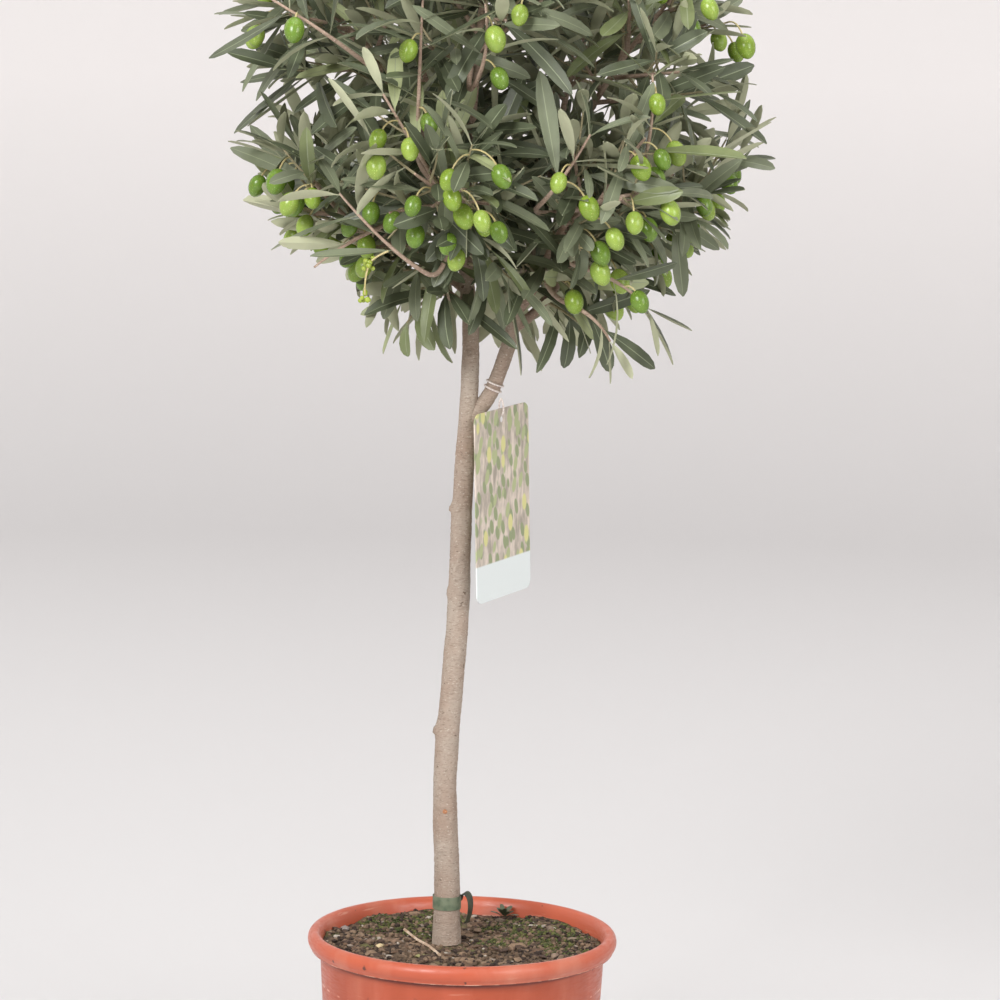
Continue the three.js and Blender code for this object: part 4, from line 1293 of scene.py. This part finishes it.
# A weed in the pot: a tuft of small dark leaves that stands in the compost at the back, by the rim.
# Its leaves have the shape of the tree's own.
WEED_SPOT = Vector((27, 76, 145.5))
WEED_LEAVES = 11
roll = dice(77)
batches = []
for k in range(WEED_LEAVES):
    turn = k * GOLDEN_ANGLE
    out = Vector((math.cos(turn), math.sin(turn), roll(0.5, 2.2))).normalized()
    root = WEED_SPOT + out * roll(0.5, 2)
    points = leaf_shape(root, out, square_to(out, UP), roll(6, 11), roll(3, 4.6), 0.6, 0.2)
    batches.append((points, leaf_faces, leaf_kinds))
weed = joined_mesh("weed_tuft", batches, [LEAF_FINISHES[FIRST_BLADE]] * 3, 50)
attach(weed, "root")

# The tag: a coated card with round corners, printed with a plain leaf pattern over a pale foot, and
# hung by its punched hole.
TAG_WIDTH = 68 * MM
TAG_HEIGHT = 122 * MM
TAG_THICKNESS = 0.8 * MM
TAG_CORNER = 6 * MM
TAG_HOLE_RADIUS = 2.2 * MM
TAG_HOLE_DROP = 7 * MM
TAG_HOLE = Vector((19.5, 0, 488.5)) * MM
TAG_TURN = math.radians(60)
TAG_TILT = math.radians(3.5)
deselect()
bpy.ops.mesh.primitive_cube_add(size=1, location=(0, 0, TAG_HOLE_DROP - TAG_HEIGHT / 2))
tag = bpy.context.object
tag.name = "tag_card"
tag.scale = (TAG_WIDTH, TAG_THICKNESS, TAG_HEIGHT)
bpy.ops.object.transform_apply(location=True, scale=True)
bpy.ops.object.mode_set(mode="EDIT")
bpy.ops.mesh.select_all(action="DESELECT")
bpy.ops.object.mode_set(mode="OBJECT")
for edge in tag.data.edges:
    low, high = (tag.data.vertices[number].co for number in edge.vertices)
    edge.select = abs(low.y - high.y) > TAG_THICKNESS / 2
bpy.ops.object.mode_set(mode="EDIT")
bpy.ops.mesh.select_mode(type="EDGE")
bpy.ops.mesh.bevel(offset=TAG_CORNER, segments=8)
bpy.ops.object.mode_set(mode="OBJECT")
deselect()
lying = (math.pi / 2, 0, 0)
bpy.ops.mesh.primitive_cylinder_add(vertices=32, radius=TAG_HOLE_RADIUS, depth=10 * MM, rotation=lying)
punch = bpy.context.object
pick(tag)
hole = tag.modifiers.new("hole", "BOOLEAN")
hole.object = punch
bpy.ops.object.modifier_apply(modifier="hole")
bpy.data.objects.remove(punch)
tag.matrix_world = (
    Matrix.Translation(TAG_HOLE) @ Matrix.Rotation(TAG_TURN, 4, "Z") @ Matrix.Rotation(-TAG_TILT, 4, "Y")
)
bpy.ops.object.transform_apply(location=True, rotation=True)
tag_upright = Matrix.Rotation(TAG_TURN, 3, "Z") @ Matrix.Rotation(-TAG_TILT, 3, "Y") @ UP
CARD_FOOT = 24 * MM  # the unprinted foot of the card
PRINT_FOOT = TAG_HOLE.dot(tag_upright) + TAG_HOLE_DROP - TAG_HEIGHT + CARD_FOOT
PRINT_EDGE = 0.5 * MM  # half the width over which the print ends
PRINT_GROUND = paint(230, 216, 202), paint(170, 160, 146)
BARE_CARD = paint(234, 241, 240)
material, tree, shader = new_finish("tag_print", 0.35)
foliage = patchwork(tree, places(tree, (1, 1, 0.3)), 240, *PRINT_GROUND, 0.36, 0.64, 4)["Color"]
# The printed leaves: (turn, cells a metre, length to width, size, colour)
PRINTED_LEAVES = [
    (0.5, 150, 0.3, 0.4, paint(152, 162, 122)),
    (-0.42, 130, 0.34, 0.36, paint(182, 190, 142)),
    (0.12, 95, 0.5, 0.3, paint(222, 218, 150)),
]
for lean, cells, slim, size, color in PRINTED_LEAVES:
    where = put(tree, "TexCoord").outputs["Object"]
    where = put(tree, "Mapping", {"Vector": where, "Rotation": (0, lean, 0)}).outputs["Vector"]
    where = put(tree, "Mapping", {"Vector": where, "Scale": (1, 1, slim)}).outputs["Vector"]
    spots = put(tree, "TexVoronoi", {"Vector": where, "Scale": cells}).outputs["Distance"]
    foliage = mixed(tree, ramp(tree, spots, size, size * 0.8), foliage, color)
# How far up the card a place lies, measured along its own upright, which leans a little.
where = put(tree, "TexCoord").outputs["Object"]
height = put(tree, "VectorMath", {0: where, 1: tag_upright}, operation="DOT_PRODUCT").outputs["Value"]
printed = ramp(tree, height, PRINT_FOOT - PRINT_EDGE, PRINT_FOOT + PRINT_EDGE)
tree.links.new(mixed(tree, printed, BARE_CARD, foliage), shader.inputs["Base Color"])
tag.data.materials.append(material)
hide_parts("tag")
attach(tag, "root")

# The string: thin white cotton, two turns round the right bough and a loop through the tag's hole,
# knotted at the bough.
STRING_RADIUS = 0.6
STRING_HEIGHTS = (508, 511.5)
COTTON = paint(236, 228, 220), paint(206, 190, 184)
material = two_tone("string_cotton", 0.8, 900, *COTTON, 0.4, 0.6, 2, (0.5, 0.0004))
strands = []
for height in STRING_HEIGHTS:
    centre, heading, radius = at_height(right_bough_line, height)
    across = square_to(heading, Vector((1, 0, 0)))
    deep = heading.cross(across)
    reach = radius + 0.3 + STRING_RADIUS
    turns = [math.tau * k / 16 for k in range(16)]
    loop = [centre + (across * math.cos(turn) + deep * math.sin(turn)) * reach for turn in turns]
    strands.append(swept("string_turn", [(spot, STRING_RADIUS) for spot in loop], 3, True, "NURBS"))
centre, heading, radius = at_height(right_bough_line, STRING_HEIGHTS[0])
hang = square_to(heading, Vector((0.85, -0.3, -0.45)))
knot = centre + hang * (radius + STRING_RADIUS + 0.5)
square = Vector((math.sin(TAG_TURN), -math.cos(TAG_TURN), 0))
rest = TAG_HOLE / MM + UP * (2.2 - STRING_RADIUS - 0.3)
loop = [knot, rest + square * 2.4 + UP * 4, rest, rest - square * 2.4 + UP * 4]
strands.append(swept("string_loop", [(spot, STRING_RADIUS) for spot in loop], 3, True, "NURBS"))
deselect()
for piece in strands:
    piece.data.materials.append(material)
    piece.select_set(True)
bpy.context.view_layer.objects.active = strands[0]
bpy.ops.object.join()
bpy.ops.object.shade_smooth_by_angle(angle=math.radians(60))
string = bpy.context.object
string.name = "tag_string_cotton"
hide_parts("tag_string")
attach(string, "root")

# The tie: a band of green tape round the trunk's foot, drawn tight, with a loose end that stands off
# its right side and curls down.
TAPE_LOW = 169.5
TAPE_HIGH = 178
TAPE_THICKNESS = 0.3
TAPE_GAP = 0.45  # from the bark
TAPE_ROWS = 6
TAPE_END = [
    (-1.9, -1.5, 174),
    (-0.6, -1, 178.4),
    (1.9, 0, 179.4),
    (4.1, 1, 176.4),
    (4.9, 1, 171),
    (4.2, 0, 165),
    (2.6, 0, 160),
]
TAPE_END_HALF = Vector((1.6, 3.2, 0.4))
TAPE_TONES = paint(122, 132, 108), paint(92, 108, 86)
# The loose end takes a much darker green all over: painted shade for the shadow it hangs in.
TAPE_END_SHADE_TONES = paint(70, 78, 60), paint(44, 50, 40)
centre, _, radius = at_height(trunk_line, (TAPE_LOW + TAPE_HIGH) / 2)
green_tape = two_tone("tape_green", 0.45, 200, *TAPE_TONES, 0.4, 0.65, 4, (0.4, 0.001))
dark_tape = two_tone("tape_end_painted_shade", 0.5, 200, *TAPE_END_SHADE_TONES, 0.4, 0.65, 4)
deselect()
bpy.ops.mesh.primitive_circle_add(
    vertices=64,
    radius=(radius + TAPE_GAP) * MM,
    location=(centre.x * MM, centre.y * MM, TAPE_LOW * MM),
)
bpy.ops.object.transform_apply(location=True)
band = bpy.context.object
bpy.ops.object.mode_set(mode="EDIT")
bpy.ops.mesh.select_all(action="SELECT")
for _ in range(TAPE_ROWS):
    rise = (0, 0, (TAPE_HIGH - TAPE_LOW) * MM / TAPE_ROWS)
    bpy.ops.mesh.extrude_region_move(TRANSFORM_OT_translate={"value": rise})
close_up(band)
band.data.materials.append(green_tape)
deselect()
bpy.ops.mesh.primitive_grid_add(x_subdivisions=24, y_subdivisions=1, size=1)
loose_end = bpy.context.object
for corner in loose_end.data.vertices:
    corner.co = (through(TAPE_END, corner.co.x + 0.5) + TAPE_END_HALF * (2 * corner.co.y)) * MM
loose_end.data.materials.append(dark_tape)
for strip in (band, loose_end):
    pick(strip)
    thick = strip.modifiers.new("thickness", "SOLIDIFY")
    thick.thickness = TAPE_THICKNESS * MM
    thick.offset = 1
    bpy.ops.object.modifier_apply(modifier="thickness")
    bpy.ops.object.shade_smooth_by_angle(angle=math.radians(50))
band.select_set(True)
bpy.context.view_layer.objects.active = band
bpy.ops.object.join()
tape = bpy.context.object
tape.name = "tie_tape_band"
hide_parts("tie_tape")
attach(tape, "root")
